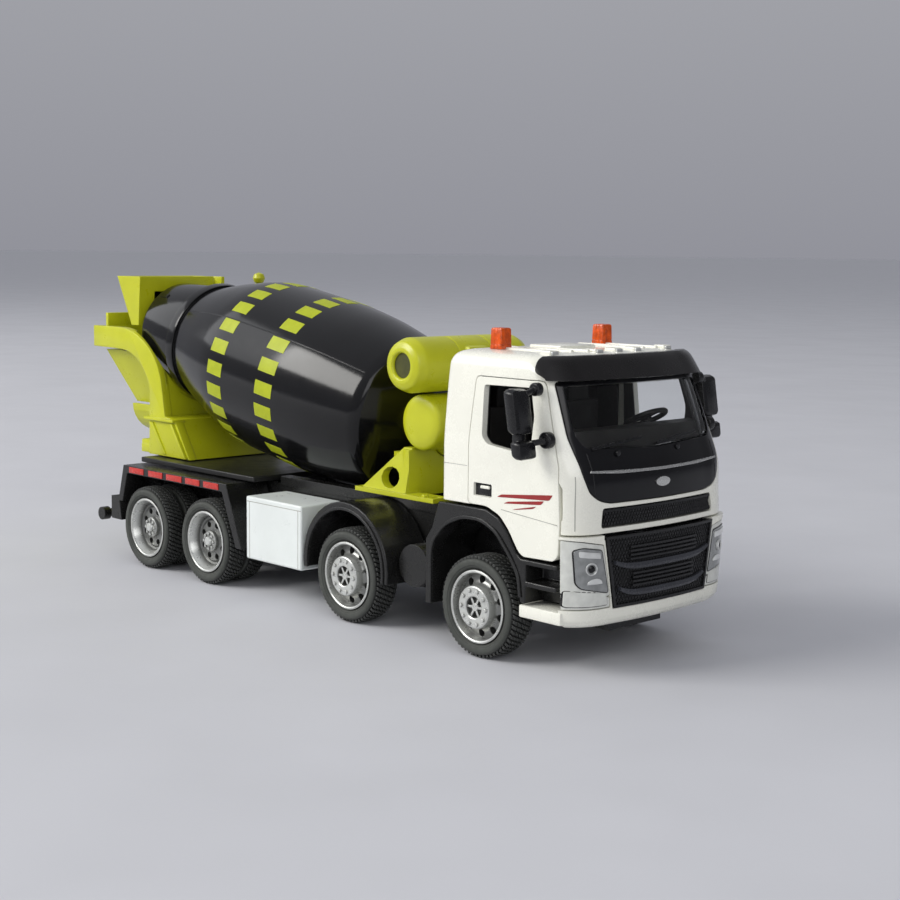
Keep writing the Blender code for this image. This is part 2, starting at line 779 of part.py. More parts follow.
def make_drum(finishes):
    shell = [
        (0, DRUM_HUB),
        (6.0, DRUM_HUB),
        (12.5, 4.4),
        (17.0, 6.5),
        (17.7, 7.6),
        (19.2, 14.0),
        (20.5, 22.0),
        (DRUM_RADIUS, BELLY_FRONT),
        (DRUM_RADIUS, BELLY_REAR),
        (18.5, 71.0),
        (15.1, RING_FRONT),
        (RING_RADIUS, RING_FRONT),
        (RING_RADIUS, RING_REAR),
        (13.6, RING_REAR),
        (13.6, 82.0),
        (17.0, 71.0),
        (20.0, BELLY_REAR),
        (20.0, BELLY_FRONT),
        (16.3, 8.8),
        (11.0, 6.2),
        (0, 4.6),
    ]
    collar = [
        (14.6, RING_REAR + GAP),
        (12.5, MOUTH - 0.5),
        (MOUTH_RADIUS, MOUTH),
        (11.2, MOUTH),
        (12.2, 86.5),
        (12.2, 83.2),
        (13.2, 83.2),
        (13.2, RING_REAR + GAP),
    ]
    origin = drum_point(0)
    shell_shape = turned(shell, DRUM_BASE, DRUM_AXIS, DRUM_STEPS)
    collar_shape = turned(collar, DRUM_BASE, DRUM_AXIS, DRUM_STEPS)
    shaft_shape = rod(drum_point(-4.6), drum_point(DRUM_HUB - GAP), SHAFT_RADIUS)
    piece("drum_shell", finishes["drum_black"], [shell_shape], origin=origin)
    piece("drum_collar", finishes["drum_black"], [collar_shape], origin=origin)
    piece("drum_shaft", finishes["steel"], [shaft_shape], origin=origin)


# ---------------------------------------------------------------- superstructure


def make_water_tank(finishes):
    x, z = TANK_CENTRE
    end = TANK_END
    profile = [
        (0, -end + 2.2),
        (2.7, -end + 2.2),
        (2.7, -end),
        (3.8, -end),
        (5.0, -end + 0.6),
        (TANK_RADIUS, -end + 2.6),
    ]
    profile += [(radius, -along) for radius, along in reversed(profile)]
    shape = turned(profile, (x, 0, z), (0, 1, 0), 24)
    piece("water_tank", finishes["lime"], [shape])


def make_gearbox(finishes):
    """A round housing across the truck, with a boss for the shaft and a neck up to the water tank."""
    half = [
        (0, -GEARBOX_HALF),
        (4.9, -GEARBOX_HALF),
        (5.8, 0.8 - GEARBOX_HALF),
        (GEARBOX_RADIUS, 1.7 - GEARBOX_HALF),
    ]
    profile = half + [(radius, -along) for radius, along in reversed(half)]
    boss = [(0, -8.0), (BOSS_RADIUS, -8.0), (BOSS_RADIUS, 0.8), (4.6, 2.1), (0, 2.1)]
    neck = [(-36.5, 46.0), (-27.5, 46.0), (-27.0, 52.5), (-35.5, 52.5)]
    gear_x, gear_z = GEARBOX_CENTRE
    tank_x, tank_z = TANK_CENTRE
    tank_ends = ((tank_x, -BEYOND_SIDE, tank_z), (tank_x, BEYOND_SIDE, tank_z))
    tank_space = rod(*tank_ends, TANK_RADIUS + GAP, 24)
    bore = rod(drum_point(-5.0), drum_point(10), SHAFT_RADIUS + 0.4, 20)
    piece(
        "gearbox_housing",
        finishes["lime"],
        [
            turned(profile, (gear_x, 0, gear_z), (0, 1, 0), 24),
            turned(boss, DRUM_BASE, DRUM_AXIS, 20),
            prism("Y", neck, -10.5, 10.5),
        ],
        cuts=[tank_space, bore, drum_clearance()],
    )


def make_front_pedestal(finishes):
    """Two leaning side plates on feet, a cross wall and a shelf that carry the gearbox."""
    shapes = [
        block((-35.8, -33.8), (-12.4, 12.4), (27.6, 38.0)),
        block((-41.0, -34.0), (-10.4, 10.4), (33.0, 37.0)),
        block((-34.2, -31.0), (-1.0, 1.0), (27.6, 33.0)),
    ]
    for side in SIDES.values():
        rings = []
        for z, rear, front, inner, outer in (
            (27.6, -49.4, -33.8, 11.4, 13.6),
            (38.4, -36.6, -34.0, 9.3, 11.3),
        ):
            rings.append(
                [
                    (rear, side * inner, z),
                    (front, side * inner, z),
                    (front, side * outer, z),
                    (rear, side * outer, z),
                ]
            )
        shapes.append(loft(rings))
        shapes.append(block((-50.0, -24.0), on_side(side, 9.4, 14.2), (27.5, 28.5)))
    hole = arc((-39.5, 31.4), (3.0, 2.4), 0, 330, 11)
    gear_x, gear_z = GEARBOX_CENTRE
    gear_ends = ((gear_x, -BEYOND_SIDE, gear_z), (gear_x, BEYOND_SIDE, gear_z))
    gearbox_space = rod(*gear_ends, GEARBOX_RADIUS + GAP, 24)
    boss_space = rod(drum_point(-12), drum_point(6), BOSS_RADIUS + GAP, 20)
    cuts = [prism("Y", hole, -20, 20), gearbox_space, boss_space, drum_clearance()]
    for side in SIDES.values():
        cuts.append(rod((-25.6, side * 11.8, 20), (-25.6, side * 11.8, 40), 0.9, 12))
    piece("front_pedestal", finishes["lime"], shapes, cuts=cuts)


def make_rear_frame(finishes):
    """Two bent arms on flared legs, tied by a saddle under the drum's ring and a rear plate."""
    top = DECK_TOP + GAP
    side_plate = [(-160.3, 60.4)]
    side_plate += arc((-147.8, 44.0), (20.6, 16.4), 90, 8, 7)
    side_plate += [(-125.9, 38.0), (-121.3, 37.4), (-114.8, top), (-133.4, top)]
    side_plate += [(-133.2, 37.4)]
    side_plate += arc((-147.0, 42.0), (14.3, 12.6), 10, 90, 6)
    side_plate += [(-160.3, 54.8)]
    shapes = [
        block((-160.3, -158.8), (-ARM_OUTER + 0.5, ARM_OUTER - 0.5), (57.0, 60.2)),
        block((-160.2, -158.9), (-11.2, 11.2), (59.0, 63.8)),
        block((-122.4, -119.6), (-14.5, 14.5), (top, 44.0)),
        block((-139.0, -120.0), (-13.8, 13.8), (top, 29.8)),
    ]
    for side in SIDES.values():
        shapes.append(prism("Y", side_plate, *on_side(side, ARM_INNER, ARM_OUTER)))
        shapes.append(block((-134.6, -121.0), on_side(side, 12.0, 15.9), (36.7, 37.5)))
        shapes.append(block((-138.9, -133.0), on_side(side, 9.5, 13.7), (28.0, 31.0)))
    piece("rear_frame", finishes["lime"], shapes, cuts=[drum_clearance()])


def make_hopper(finishes):
    """A wedge-shaped pocket open at the top, with an outlet into the drum's mouth."""
    outer = [(-152.2, 74.0), (-141.0, 74.0), (-142.0, 61.0), (-145.4, 61.0)]
    inner = [(-151.4, 75.0), (-142.0, 75.0), (-142.9, 62.2), (-144.9, 62.2)]
    wing = block((-141.5, -137.2), (11.3, 12.3), (71.0, 74.0))
    cuts = [
        prism("Y", inner, -11.3, 11.3),
        block((-144.0, -139.0), (-7.5, 7.5), (62.4, 70.0)),
        drum_clearance(),
    ]
    piece("hopper", finishes["lime"], [prism("Y", outer, -12.3, 12.3), wing], cuts=cuts)


def funnel_ring(rear, front, half, z):
    return [(rear, -half, z), (front, -half, z), (front, half, z), (rear, half, z)]


def make_discharge_funnel(finishes):
    outer = [funnel_ring(-158.4, -141.5, 12.2, 53.9), funnel_ring(-152.4, -140.0, 6.4, 39.7)]
    inner = [funnel_ring(-157.8, -142.1, 11.3, 55.0), funnel_ring(-151.0, -141.3, 4.9, 38.0)]
    cuts = [loft(inner), drum_clearance()]
    piece("discharge_funnel", finishes["lime"], [loft(outer)], cuts=cuts)


def make_swivel_chute(finishes):
    """A half-round trough that swings about an upright pivot under the funnel."""
    centre = (0.0, CHUTE_AXIS_Z)
    inner_radius = CHUTE_RADIUS - 1.1
    wall = arc(centre, (CHUTE_RADIUS, CHUTE_RADIUS), 180, 360, 14)
    wall += arc(centre, (inner_radius, inner_radius), 360, 180, 14)
    lid = arc(centre, (CHUTE_RADIUS, CHUTE_RADIUS), 180, 360, 14)
    pivot = (CHUTE_PIVOT_X, 0, 29.8 + GAP)
    shapes = [
        prism("X", wall, -152.6, -133.6),
        prism("X", lid, -134.6, -133.6),
        rod(pivot, (CHUTE_PIVOT_X, 0, 32.0), 2.6),
    ]
    piece("swivel_chute", finishes["lime"], shapes, origin=(CHUTE_PIVOT_X, 0, CHUTE_AXIS_Z))


def make_ladder(finishes):
    """Access ladder on the left: two rails, rungs, and one rail carried up to a round knob."""
    y = (17.2, 18.6)
    foot = DECK_TOP + GAP
    rails = (-129.0, -122.6)
    shapes = [
        block((rails[0] - 0.7, rails[0] + 0.7), y, (foot, 73.0)),
        block((rails[1] - 0.7, rails[1] + 0.7), y, (foot, 66.0)),
        turned(
            [(0, -1.6), (1.3, -1.1), (1.7, 0.0), (1.3, 1.1), (0, 1.6)],
            (rails[0], 17.9, 73.7),
            (0, 0, 1),
            12,
        ),
    ]
    for rung in range(5):
        z = 32.0 + 7.5 * rung
        shapes.append(block(rails, (17.4, 18.4), (z, z + 1.1)))
    piece("ladder", finishes["lime"], shapes)


# ---------------------------------------------------------------- build


def make_finishes():
    return {
        "cab_white": finish("cab_white", (0.86, 0.86, 0.80), 0.28),
        "box_white": finish("box_white", (0.74, 0.79, 0.79), 0.30),
        "lime": finish("lime", (0.52, 0.58, 0.015), 0.32),
        "drum_black": finish("drum_black", (0.012, 0.013, 0.013), 0.18),
        "gloss_black": finish("gloss_black", (0.008, 0.008, 0.009), 0.15),
        "chassis": finish("chassis_black", (0.030, 0.030, 0.028), 0.45),
        "trim_black": finish("trim_black", (0.015, 0.015, 0.016), 0.35),
        "interior": finish("interior_black", (0.012, 0.010, 0.009), 0.50),
        "visor": finish("visor_smoke", (0.010, 0.010, 0.010), 0.25),
        "glass": finish("clear_plastic", (0.75, 0.78, 0.78), 0.05, alpha=0.35),
        "lamp": finish("lamp_silver", (0.52, 0.54, 0.54), 0.25, 0.6),
        "orange": finish("beacon_orange", (0.78, 0.10, 0.01), 0.15),
        "tyre": finish("tyre_rubber", (0.040, 0.044, 0.040), 0.75),
        "rim": finish("rim_silver", (0.46, 0.46, 0.46), 0.35, 0.7),
        "steel": finish("axle_steel", (0.50, 0.50, 0.50), 0.30, 1.0),
    }


def main():
    for obj in list(bpy.data.objects):
        bpy.data.objects.remove(obj)
    finishes = make_finishes()
    for number, x in enumerate(AXLES, start=1):
        make_wheelset(number, x, finishes)
    make_chassis(finishes)
    make_base_plate(finishes)
    make_rear_deck(finishes)
    make_underrun_bar(finishes)
    make_front_fenders(finishes)
    make_second_fenders(finishes)
    make_toolboxes(finishes)
    make_cab_shell(finishes)
    make_doors(finishes)
    make_mirrors(finishes)
    make_front_panel(finishes)
    make_grilles(finishes)
    make_bumper(finishes)
    make_headlights(finishes)
    make_sun_visor(finishes)
    make_beacons(finishes)
    make_interior(finishes)
    make_steering_wheel(finishes)
    make_drum(finishes)
    make_water_tank(finishes)
    make_gearbox(finishes)
    make_front_pedestal(finishes)
    make_rear_frame(finishes)
    make_hopper(finishes)
    make_discharge_funnel(finishes)
    make_swivel_chute(finishes)
    make_ladder(finishes)


main()
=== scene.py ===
"""Looks of a toy cement mixer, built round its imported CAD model.

Shapes are drawn in millimetres, with X measured forward from the front axle, Y to the truck's
left and Z up from the ground. place() carries them into the model's frame, in metres.
"""

import math

import bmesh
import bpy
from mathutils import Matrix, Vector


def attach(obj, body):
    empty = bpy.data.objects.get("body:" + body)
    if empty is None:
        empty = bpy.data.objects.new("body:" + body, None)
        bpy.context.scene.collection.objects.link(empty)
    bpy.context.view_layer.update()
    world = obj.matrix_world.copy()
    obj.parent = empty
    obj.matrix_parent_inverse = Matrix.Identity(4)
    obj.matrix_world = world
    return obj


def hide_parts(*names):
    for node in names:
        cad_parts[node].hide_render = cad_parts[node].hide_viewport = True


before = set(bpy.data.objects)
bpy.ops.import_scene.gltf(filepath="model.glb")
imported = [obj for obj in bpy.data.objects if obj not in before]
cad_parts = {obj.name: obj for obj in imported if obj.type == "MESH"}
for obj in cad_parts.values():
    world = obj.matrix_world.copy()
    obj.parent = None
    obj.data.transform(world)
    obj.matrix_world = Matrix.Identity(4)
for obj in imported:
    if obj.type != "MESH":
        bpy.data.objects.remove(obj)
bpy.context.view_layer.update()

MM = 0.001
FRONT_AXLE_X = 65.95
SIDES = {"right": -1, "left": 1}
SHARP = math.radians(35)

# Measures shared with the CAD model
AXLES = (0.0, -40.8, -94.6, -120.5)
TYRE_FACE_Y = 24.75
AXLE_HEIGHT = 10.5
DRUM_TILT = math.radians(10)
DRUM_BASE = Vector((-40.0, 0.0, 42.3))
DRUM_AXIS = Vector((-math.cos(DRUM_TILT), 0.0, math.sin(DRUM_TILT)))
DRUM_UP = Vector((math.sin(DRUM_TILT), 0.0, math.cos(DRUM_TILT)))
GEARBOX_X, GEARBOX_Z = -31.1, 44.3
NOSE_CROWN = 0.0042
ROOF_START = 58.0
SKIN = 1.4
CAB_CORNER = (6.2, 8.5)
# Height, nose, half width, rear, and how far each front corner is rounded along and across.
CAB_LEVELS = [
    (28.2, 27.6, 24.45, -10.8, CAB_CORNER),
    (33.5, 27.3, 24.4, -10.8, CAB_CORNER),
    (39.6, 26.9, 24.4, -10.8, CAB_CORNER),
    (45.0, 24.8, 24.3, -10.8, CAB_CORNER),
    (57.2, 20.1, 23.1, -10.8, CAB_CORNER),
    (60.0, 18.4, 22.5, -10.6, CAB_CORNER),
    (61.4, 16.9, 21.2, -9.6, CAB_CORNER),
    (62.0, 14.6, 19.0, -7.8, CAB_CORNER),
]
BUMPER_LEVELS = [
    (10.0, 26.6, 23.6, 5.0, (7.0, 9.0)),
    (11.0, 27.6, 24.5, 5.0, (7.0, 9.0)),
    (13.6, 28.05, 24.75, 5.0, (6.8, 8.8)),
    (27.9, 28.1, 24.7, 5.0, (5.2, 6.0)),
]
VISOR_LEVELS = [
    (57.2, 22.0, 24.2, 0.0, (6.6, 8.8)),
    (60.6, 19.8, 23.7, 0.0, (6.6, 8.8)),
    (61.7, 18.8, 22.6, 0.0, (6.6, 8.8)),
]


# ---- materials


# Colour of rubbed edges; on the tread blocks it is also a painted highlight.
RUBBED_AND_SHEEN = (0.55, 0.55, 0.52, 1.0)
# Near-black colour of the painted shade in deep corners.
PAINTED_CORNER_SHADE = (0.05, 0.05, 0.045, 1.0)


def feed(tree, sockets, values):
    """Links each value that is a socket, and sets the others."""
    for socket, value in zip(sockets, values):
        if isinstance(value, bpy.types.NodeSocket):
            tree.links.new(value, socket)
        else:
            socket.default_value = value


def node(tree, kind, **inputs):
    """A shader node with the given inputs set or linked."""
    made = tree.nodes.new(kind)
    feed(tree, [made.inputs[name.replace("_", " ")] for name in inputs], inputs.values())
    return made


def math_node(tree, operation, a, b=0.0):
    made = tree.nodes.new("ShaderNodeMath")
    made.operation = operation
    feed(tree, made.inputs, (a, b))
    return made.outputs[0]


def dot(tree, a, b):
    made = tree.nodes.new("ShaderNodeVectorMath")
    made.operation = "DOT_PRODUCT"
    feed(tree, made.inputs, (a, b))
    return made.outputs["Value"]


def mixed(tree, factor, first, second):
    """The colour between first and second."""
    made = tree.nodes.new("ShaderNodeMix")
    made.data_type = "RGBA"
    feed(tree, (made.inputs[0], made.inputs[6], made.inputs[7]), (factor, first, second))
    return made.outputs[2]


def scaled(colour, factor):
    return tuple(min(1.0, part * factor) for part in colour) + (1.0,)


def noise(tree, where, size_mm, detail=3.0):
    """Noise whose features are about size_mm across."""
    made = node(tree, "ShaderNodeTexNoise", Vector=where, Scale=1000.0 / size_mm, Detail=detail)
    return made.outputs["Fac"]


def ranged(tree, value, low, high, new_low, new_high):
    made = tree.nodes.new("ShaderNodeMapRange")
    feed(tree, made.inputs[:5], (value, low, high, new_low, new_high))
    return made.outputs[0]


def finish(name, colour, roughness, spread=0.06, blotch=9.0, grain=0.35, bump=0.1, edge=0.22,
           wear_and_sheen=0.10, painted_corner_shade=0.0, pattern=None, shade=None, **sockets):
    """A moulded or painted surface: soft colour drift, fine grain, rounded and slightly rubbed edges, the
    rubbed tone also serving as a painted highlight where it is set strong.

    Sizes are in millimetres. The corner amount paints shade into deep corners, where ambient occlusion finds
    them; pattern adds a height to the bump, and shade says where painted shade makes the colour darkest. The
    other values go on the shader itself.
    """
    made = bpy.data.materials.new(name)
    made.use_nodes = True
    tree = made.node_tree
    shader = tree.nodes["Principled BSDF"]
    where = node(tree, "ShaderNodeTexCoord").outputs["Object"]
    drift = ranged(tree, noise(tree, where, blotch), 0.35, 0.65, 0.0, 1.0)
    tint = mixed(tree, drift, scaled(colour, 1 - spread), scaled(colour, 1 + spread))
    rounded_edge = node(tree, "ShaderNodeBevel", Radius=edge * MM)
    rounded_edge.samples = 4
    rounded = rounded_edge.outputs[0]
    flat = node(tree, "ShaderNodeNewGeometry").outputs["Normal"]
    # Lighter rubbed edges: wear, and on the tread blocks a painted highlight.
    edge_rub_and_sheen = ranged(tree, dot(tree, rounded, flat), 0.80, 0.99, wear_and_sheen, 0.0)
    edge_rub_and_sheen = math_node(tree, "MULTIPLY", edge_rub_and_sheen, noise(tree, where, 2.0))
    tint = mixed(tree, edge_rub_and_sheen, tint, RUBBED_AND_SHEEN)
    if painted_corner_shade:
        # Painted shade: deep corners, found by ambient occlusion, darkened towards a near-black colour.
        shelter = node(tree, "ShaderNodeAmbientOcclusion", Distance=2.8 * MM).outputs["AO"]
        tint = mixed(tree, ranged(tree, shelter, 0.35, 0.92, painted_corner_shade, 0.0), tint, PAINTED_CORNER_SHADE)
    # Painted shade: the colour darkened where the shade function says.
    if shade:
        tint = mixed(tree, shade(tree, where), tint, scaled(colour, 0.15))
    tree.links.new(tint, shader.inputs["Base Color"])
    fine = noise(tree, where, grain, 2.0)
    smear = noise(tree, where, blotch * 0.4)
    gloss = math_node(tree, "ADD", ranged(tree, fine, 0.3, 0.7, -0.03, 0.03),
                      ranged(tree, smear, 0.3, 0.7, roughness * 0.85, roughness * 1.2))
    tree.links.new(gloss, shader.inputs["Roughness"])
    height = fine
    if pattern:
        height = math_node(tree, "ADD", math_node(tree, "MULTIPLY", fine, 0.15), pattern(tree, where))
    relief = node(tree, "ShaderNodeBump", Strength=bump, Distance=0.05 * MM, Height=height, Normal=rounded)
    tree.links.new(relief.outputs[0], shader.inputs["Normal"])
    for socket, value in sockets.items():
        shader.inputs[socket.replace("_", " ")].default_value = value
    return made


def tread_plate(tree, where):
    """Small raised diamonds in a regular grid."""
    cells = node(tree, "ShaderNodeTexVoronoi", Vector=where, Scale=1000.0 / 1.15, Randomness=0.0)
    cells.distance = "MANHATTAN"
    return ranged(tree, cells.outputs["Distance"], 0.28, 0.42, 1.0, 0.0)


def dish_painted_shade(tree, where):
    """Painted shade inside a wheel: darker the further behind the tyre's outer face."""
    depth = node(tree, "ShaderNodeSeparateXYZ", Vector=where).outputs["Y"]
    return ranged(tree, depth, -0.9 * MM, -2.6 * MM, 0.0, 0.75)


def tread_gap_painted_shade(tree, where):
    """Painted shade: darker between the tread blocks, beyond the tyre's shoulder."""
    parts = node(tree, "ShaderNodeSeparateXYZ", Vector=where)
    squares = [math_node(tree, "MULTIPLY", parts.outputs[i], parts.outputs[i]) for i in "XZ"]
    reach = math_node(tree, "SQRT", math_node(tree, "ADD", *squares))
    return ranged(tree, reach, 9.72 * MM, 9.82 * MM, 0.0, 1.0)


def streaks(tree, where):
    """Faint lines drawn along a turned or brushed part."""
    stretch = tree.nodes.new("ShaderNodeMapping")
    stretch.inputs["Scale"].default_value = (1.0, 0.03, 1.0)
    tree.links.new(where, stretch.inputs["Vector"])
    return noise(tree, stretch.outputs[0], 0.12)


MATERIALS = {
    "cab_white": finish("cab_white", (0.87, 0.865, 0.765), 0.26, spread=0.012, bump=0.05, wear_and_sheen=0.02,
                        Coat_Weight=0.5, Coat_Roughness=0.08),
    "box_white": finish("box_white", (0.76, 0.80, 0.775), 0.32, spread=0.03, bump=0.08, wear_and_sheen=0.03),
    "lime": finish("lime", (0.53, 0.55, 0.012), 0.32, spread=0.05, bump=0.10),
    "drum_black": finish("drum_black", (0.0045, 0.0045, 0.005), 0.13, spread=0.2, blotch=14.0, bump=0.03,
                         wear_and_sheen=0.04, Specular_IOR_Level=0.35),
    "gloss_black": finish("gloss_black", (0.004, 0.004, 0.005), 0.12, spread=0.2, bump=0.02, wear_and_sheen=0.03,
                          Specular_IOR_Level=0.35),
    "chassis_black": finish("chassis_black", (0.011, 0.011, 0.0105), 0.25, spread=0.15, grain=0.25,
                            bump=0.22, wear_and_sheen=0.10, Specular_IOR_Level=0.42),
    "trim_black": finish("trim_black", (0.006, 0.006, 0.007), 0.26, spread=0.15, bump=0.10, wear_and_sheen=0.05,
                         Specular_IOR_Level=0.4),
    "interior_black": finish("interior_black", (0.012, 0.010, 0.008), 0.55, spread=0.15, bump=0.2),
    "visor_smoke": finish("visor_smoke", (0.008, 0.007, 0.007), 0.24, spread=0.2, bump=0.05, wear_and_sheen=0.04,
                          Specular_IOR_Level=0.4),
    "clear_plastic": finish("clear_plastic", (0.93, 0.95, 0.95), 0.03, spread=0.01, bump=0.01, wear_and_sheen=0.0,
                            edge=0.1, Transmission_Weight=1.0, IOR=1.22),
    "lamp_silver": finish("lamp_silver", (0.72, 0.73, 0.71), 0.18, spread=0.10, blotch=2.5, bump=0.10,
                          Metallic=0.5, Coat_Weight=0.8, Coat_Roughness=0.03),
    "beacon_orange": finish("beacon_orange", (0.64, 0.078, 0.0), 0.24, spread=0.25, blotch=1.2, bump=0.05,
                            wear_and_sheen=0.0, Coat_Weight=0.15, Coat_Roughness=0.04),
    # Tyres: painted shade in deep corners and between the tread blocks.
    "tyre_rubber": finish("tyre_rubber", (0.050, 0.054, 0.047), 0.68, spread=0.14, blotch=5.0, grain=0.2,
                          bump=0.3, edge=0.12, wear_and_sheen=0.10, painted_corner_shade=0.5, shade=tread_gap_painted_shade),
    # Rims: painted shade in deep corners and deeper inside the dish.
    "rim_silver": finish("rim_silver", (0.62, 0.63, 0.60), 0.30, spread=0.07, blotch=3.0, bump=0.15,
                         edge=0.12, painted_corner_shade=0.85, shade=dish_painted_shade, Metallic=0.6),
    "axle_steel": finish("axle_steel", (0.55, 0.55, 0.55), 0.28, bump=0.3, pattern=streaks, Metallic=1.0),
}
DECK = finish("deck_plate", (0.013, 0.013, 0.0125), 0.36, spread=0.15, bump=0.5, pattern=tread_plate,
              Specular_IOR_Level=0.4)
PRINT_LIME = finish("print_lime", (0.41, 0.465, 0.012), 0.42, spread=0.05, blotch=2.0, bump=0.08, edge=0.05,
                    Specular_IOR_Level=0.3)
PRINT_RED = finish("print_red", (0.30, 0.015, 0.015), 0.35, spread=0.08, blotch=2.0, bump=0.05, edge=0.05)
# Tread blocks: the strong edge lightening is partly rubbed wear and partly a painted highlight on the block
# edges.
TREAD = finish("tread_rubber", (0.034, 0.036, 0.033), 0.5, spread=0.2, blotch=3.0, grain=0.2, bump=0.3,
               edge=0.12, wear_and_sheen=0.5)
# Painted shade: the dark colour of a disc set inside each tank-end hole, where shade falls.
TANK_HOLE_SHADE = finish("tank_hole_shade", (0.055, 0.058, 0.005), 0.6, spread=0.2, blotch=2.0, bump=0.2)
REFLECTOR = finish("reflector_red", (0.52, 0.035, 0.025), 0.25, spread=0.10, blotch=1.0, bump=0.3, edge=0.1)
SILVER = finish("silver_trim", (0.66, 0.66, 0.64), 0.24, spread=0.04, bump=0.08, edge=0.08, Metallic=0.85)
SEAM = finish("seam_shadow", (0.36, 0.355, 0.32), 0.6, spread=0.1, wear_and_sheen=0.0, edge=0.03)
GRILLE_BAR = finish("grille_bar", (0.042, 0.044, 0.052), 0.26, spread=0.12, bump=0.08, edge=0.1)
LAMP_DARK = finish("lamp_dark", (0.27, 0.28, 0.275), 0.14, spread=0.15, blotch=1.5, bump=0.05, Metallic=0.6,
                   Coat_Weight=1.0, Coat_Roughness=0.03)
LAMP_WHITE = finish("lamp_white", (0.66, 0.67, 0.62), 0.18, spread=0.08, blotch=2.0, bump=0.05,
                    Coat_Weight=0.6)
MIRROR_GLASS = finish("mirror_glass", (0.70, 0.72, 0.73), 0.05, spread=0.02, bump=0.01, Metallic=1.0)


# ---- shapes


def facing_out(bm):
    bmesh.ops.remove_doubles(bm, verts=bm.verts, dist=1e-4)
    bmesh.ops.recalc_face_normals(bm, faces=bm.faces)
    return bm


def arc(centre, radii, start, end, steps):
    """Points along an ellipse between two angles in degrees."""
    angles = [math.radians(start + (end - start) * i / steps) for i in range(steps + 1)]
    return [(centre[0] + radii[0] * math.cos(a), centre[1] + radii[1] * math.sin(a)) for a in angles]


def bridge(bm, first, second):
    """Faces between two closed rings of vertices."""
    for i in range(len(first)):
        bm.faces.new((first[i - 1], first[i], second[i], second[i - 1]))


def loft(rings):
    """A closed solid through rings that have the same number of points."""
    bm = bmesh.new()
    rows = [[bm.verts.new(point) for point in ring] for ring in rings]
    for low, high in zip(rows, rows[1:]):
        bridge(bm, low, high)
    bm.faces.new(rows[0])
    bm.faces.new(rows[-1])
    return facing_out(bm)


def filleted(points, radius, steps=4, closed=True):
    """The outline with each corner rounded."""
    result = []
    for i, here in enumerate(points):
        if not closed and i in (0, len(points) - 1):
            result.append(tuple(here))
            continue
        here = Vector(here)
        before = Vector(points[i - 1]) - here
        after = Vector(points[(i + 1) % len(points)]) - here
        reach = min(radius, before.length * 0.45, after.length * 0.45)
        start = here + before.normalized() * reach
        end = here + after.normalized() * reach
        for step in range(steps + 1):
            t = step / steps
            result.append(tuple(start * (1 - t) ** 2 + here * 2 * t * (1 - t) + end * t * t))
    return result


def grown(outline, distance):
    """An outline with every side moved outwards by a distance."""
    area = sum(a[0] * b[1] - b[0] * a[1] for a, b in zip(outline, outline[1:] + outline[:1]))
    turn = 1 if area > 0 else -1
    result = []
    for i, point in enumerate(outline):
        here = Vector(point)
        before = (here - Vector(outline[i - 1])).normalized()
        after = (Vector(outline[(i + 1) % len(outline)]) - here).normalized()
        out_before = Vector((before.y, -before.x)) * turn
        out_after = Vector((after.y, -after.x)) * turn
        bisector = (out_before + out_after).normalized()
        result.append(tuple(here + bisector * distance / max(bisector.dot(out_before), 0.5)))
    return result


def prism(axis, outline, low, high, soft=0.0):
    """An outline in the two other axes pushed along axis, its end edges rounded by soft."""
    at = "XYZ".index(axis)
    low, high = sorted((low, high))

    def ring(level, inset):
        points = grown(outline, -inset) if inset else outline
        return [point[:at] + (level,) + point[at:] for point in map(tuple, points)]

    if not soft:
        return loft([ring(low, 0), ring(high, 0)])
    curve = [(soft * (1 - math.sin(a)), soft * (1 - math.cos(a))) for a in (0, math.pi / 4, math.pi / 2)]
    rings = [ring(low + depth, inset) for inset, depth in curve]
    rings += [ring(high - depth, inset) for inset, depth in reversed(curve)]
    return loft(rings)


def block(x, y, z, soft=0.0):
    corners = [(min(x), min(y)), (max(x), min(y)), (max(x), max(y)), (min(x), max(y))]
    outline = filleted(corners, soft, 2) if soft else corners
    return prism("Z", outline, min(z), max(z), soft)


def on_side(side, inner, outer):
    return (side * inner, side * outer)


def turned(profile, base, axis, steps=64):
    """A solid of revolution from (radius, distance along the axis)."""
    bm = bmesh.new()
    verts = [bm.verts.new((radius, 0.0, along)) for radius, along in profile]
    pairs = list(zip(verts, verts[1:]))
    if profile[0][0] > 0:
        pairs.append((verts[-1], verts[0]))
    edges = [bm.edges.new(pair) for pair in pairs]
    bmesh.ops.spin(bm, geom=verts + edges, axis=(0, 0, 1), cent=(0, 0, 0), angle=math.tau,
                   steps=steps, use_merge=True)
    turn = Vector((0, 0, 1)).rotation_difference(Vector(axis)).to_matrix().to_4x4()
    bmesh.ops.transform(bm, matrix=Matrix.Translation(base) @ turn, verts=bm.verts)
    return facing_out(bm)


def rod(start, end, radius, steps=24, soft=0.0):
    along = Vector(end) - Vector(start)
    length = along.length
    profile = [(0, 0), (radius, 0), (radius, length), (0, length)]
    if soft:
        profile = filleted(profile, soft, 3, closed=False)
    return turned(profile, start, along.normalized(), steps)


def merged(shapes):
    """Several solids in one mesh."""
    whole = bmesh.new()
    for shape in shapes:
        part = bpy.data.meshes.new("part")
        shape.to_mesh(part)
        shape.free()
        whole.from_mesh(part)
        bpy.data.meshes.remove(part)
    return whole


def mesh_object(name, bm):
    mesh = bpy.data.meshes.new(name)
    bm.to_mesh(mesh)
    bm.free()
    obj = bpy.data.objects.new(name, mesh)
    bpy.context.scene.collection.objects.link(obj)
    return obj


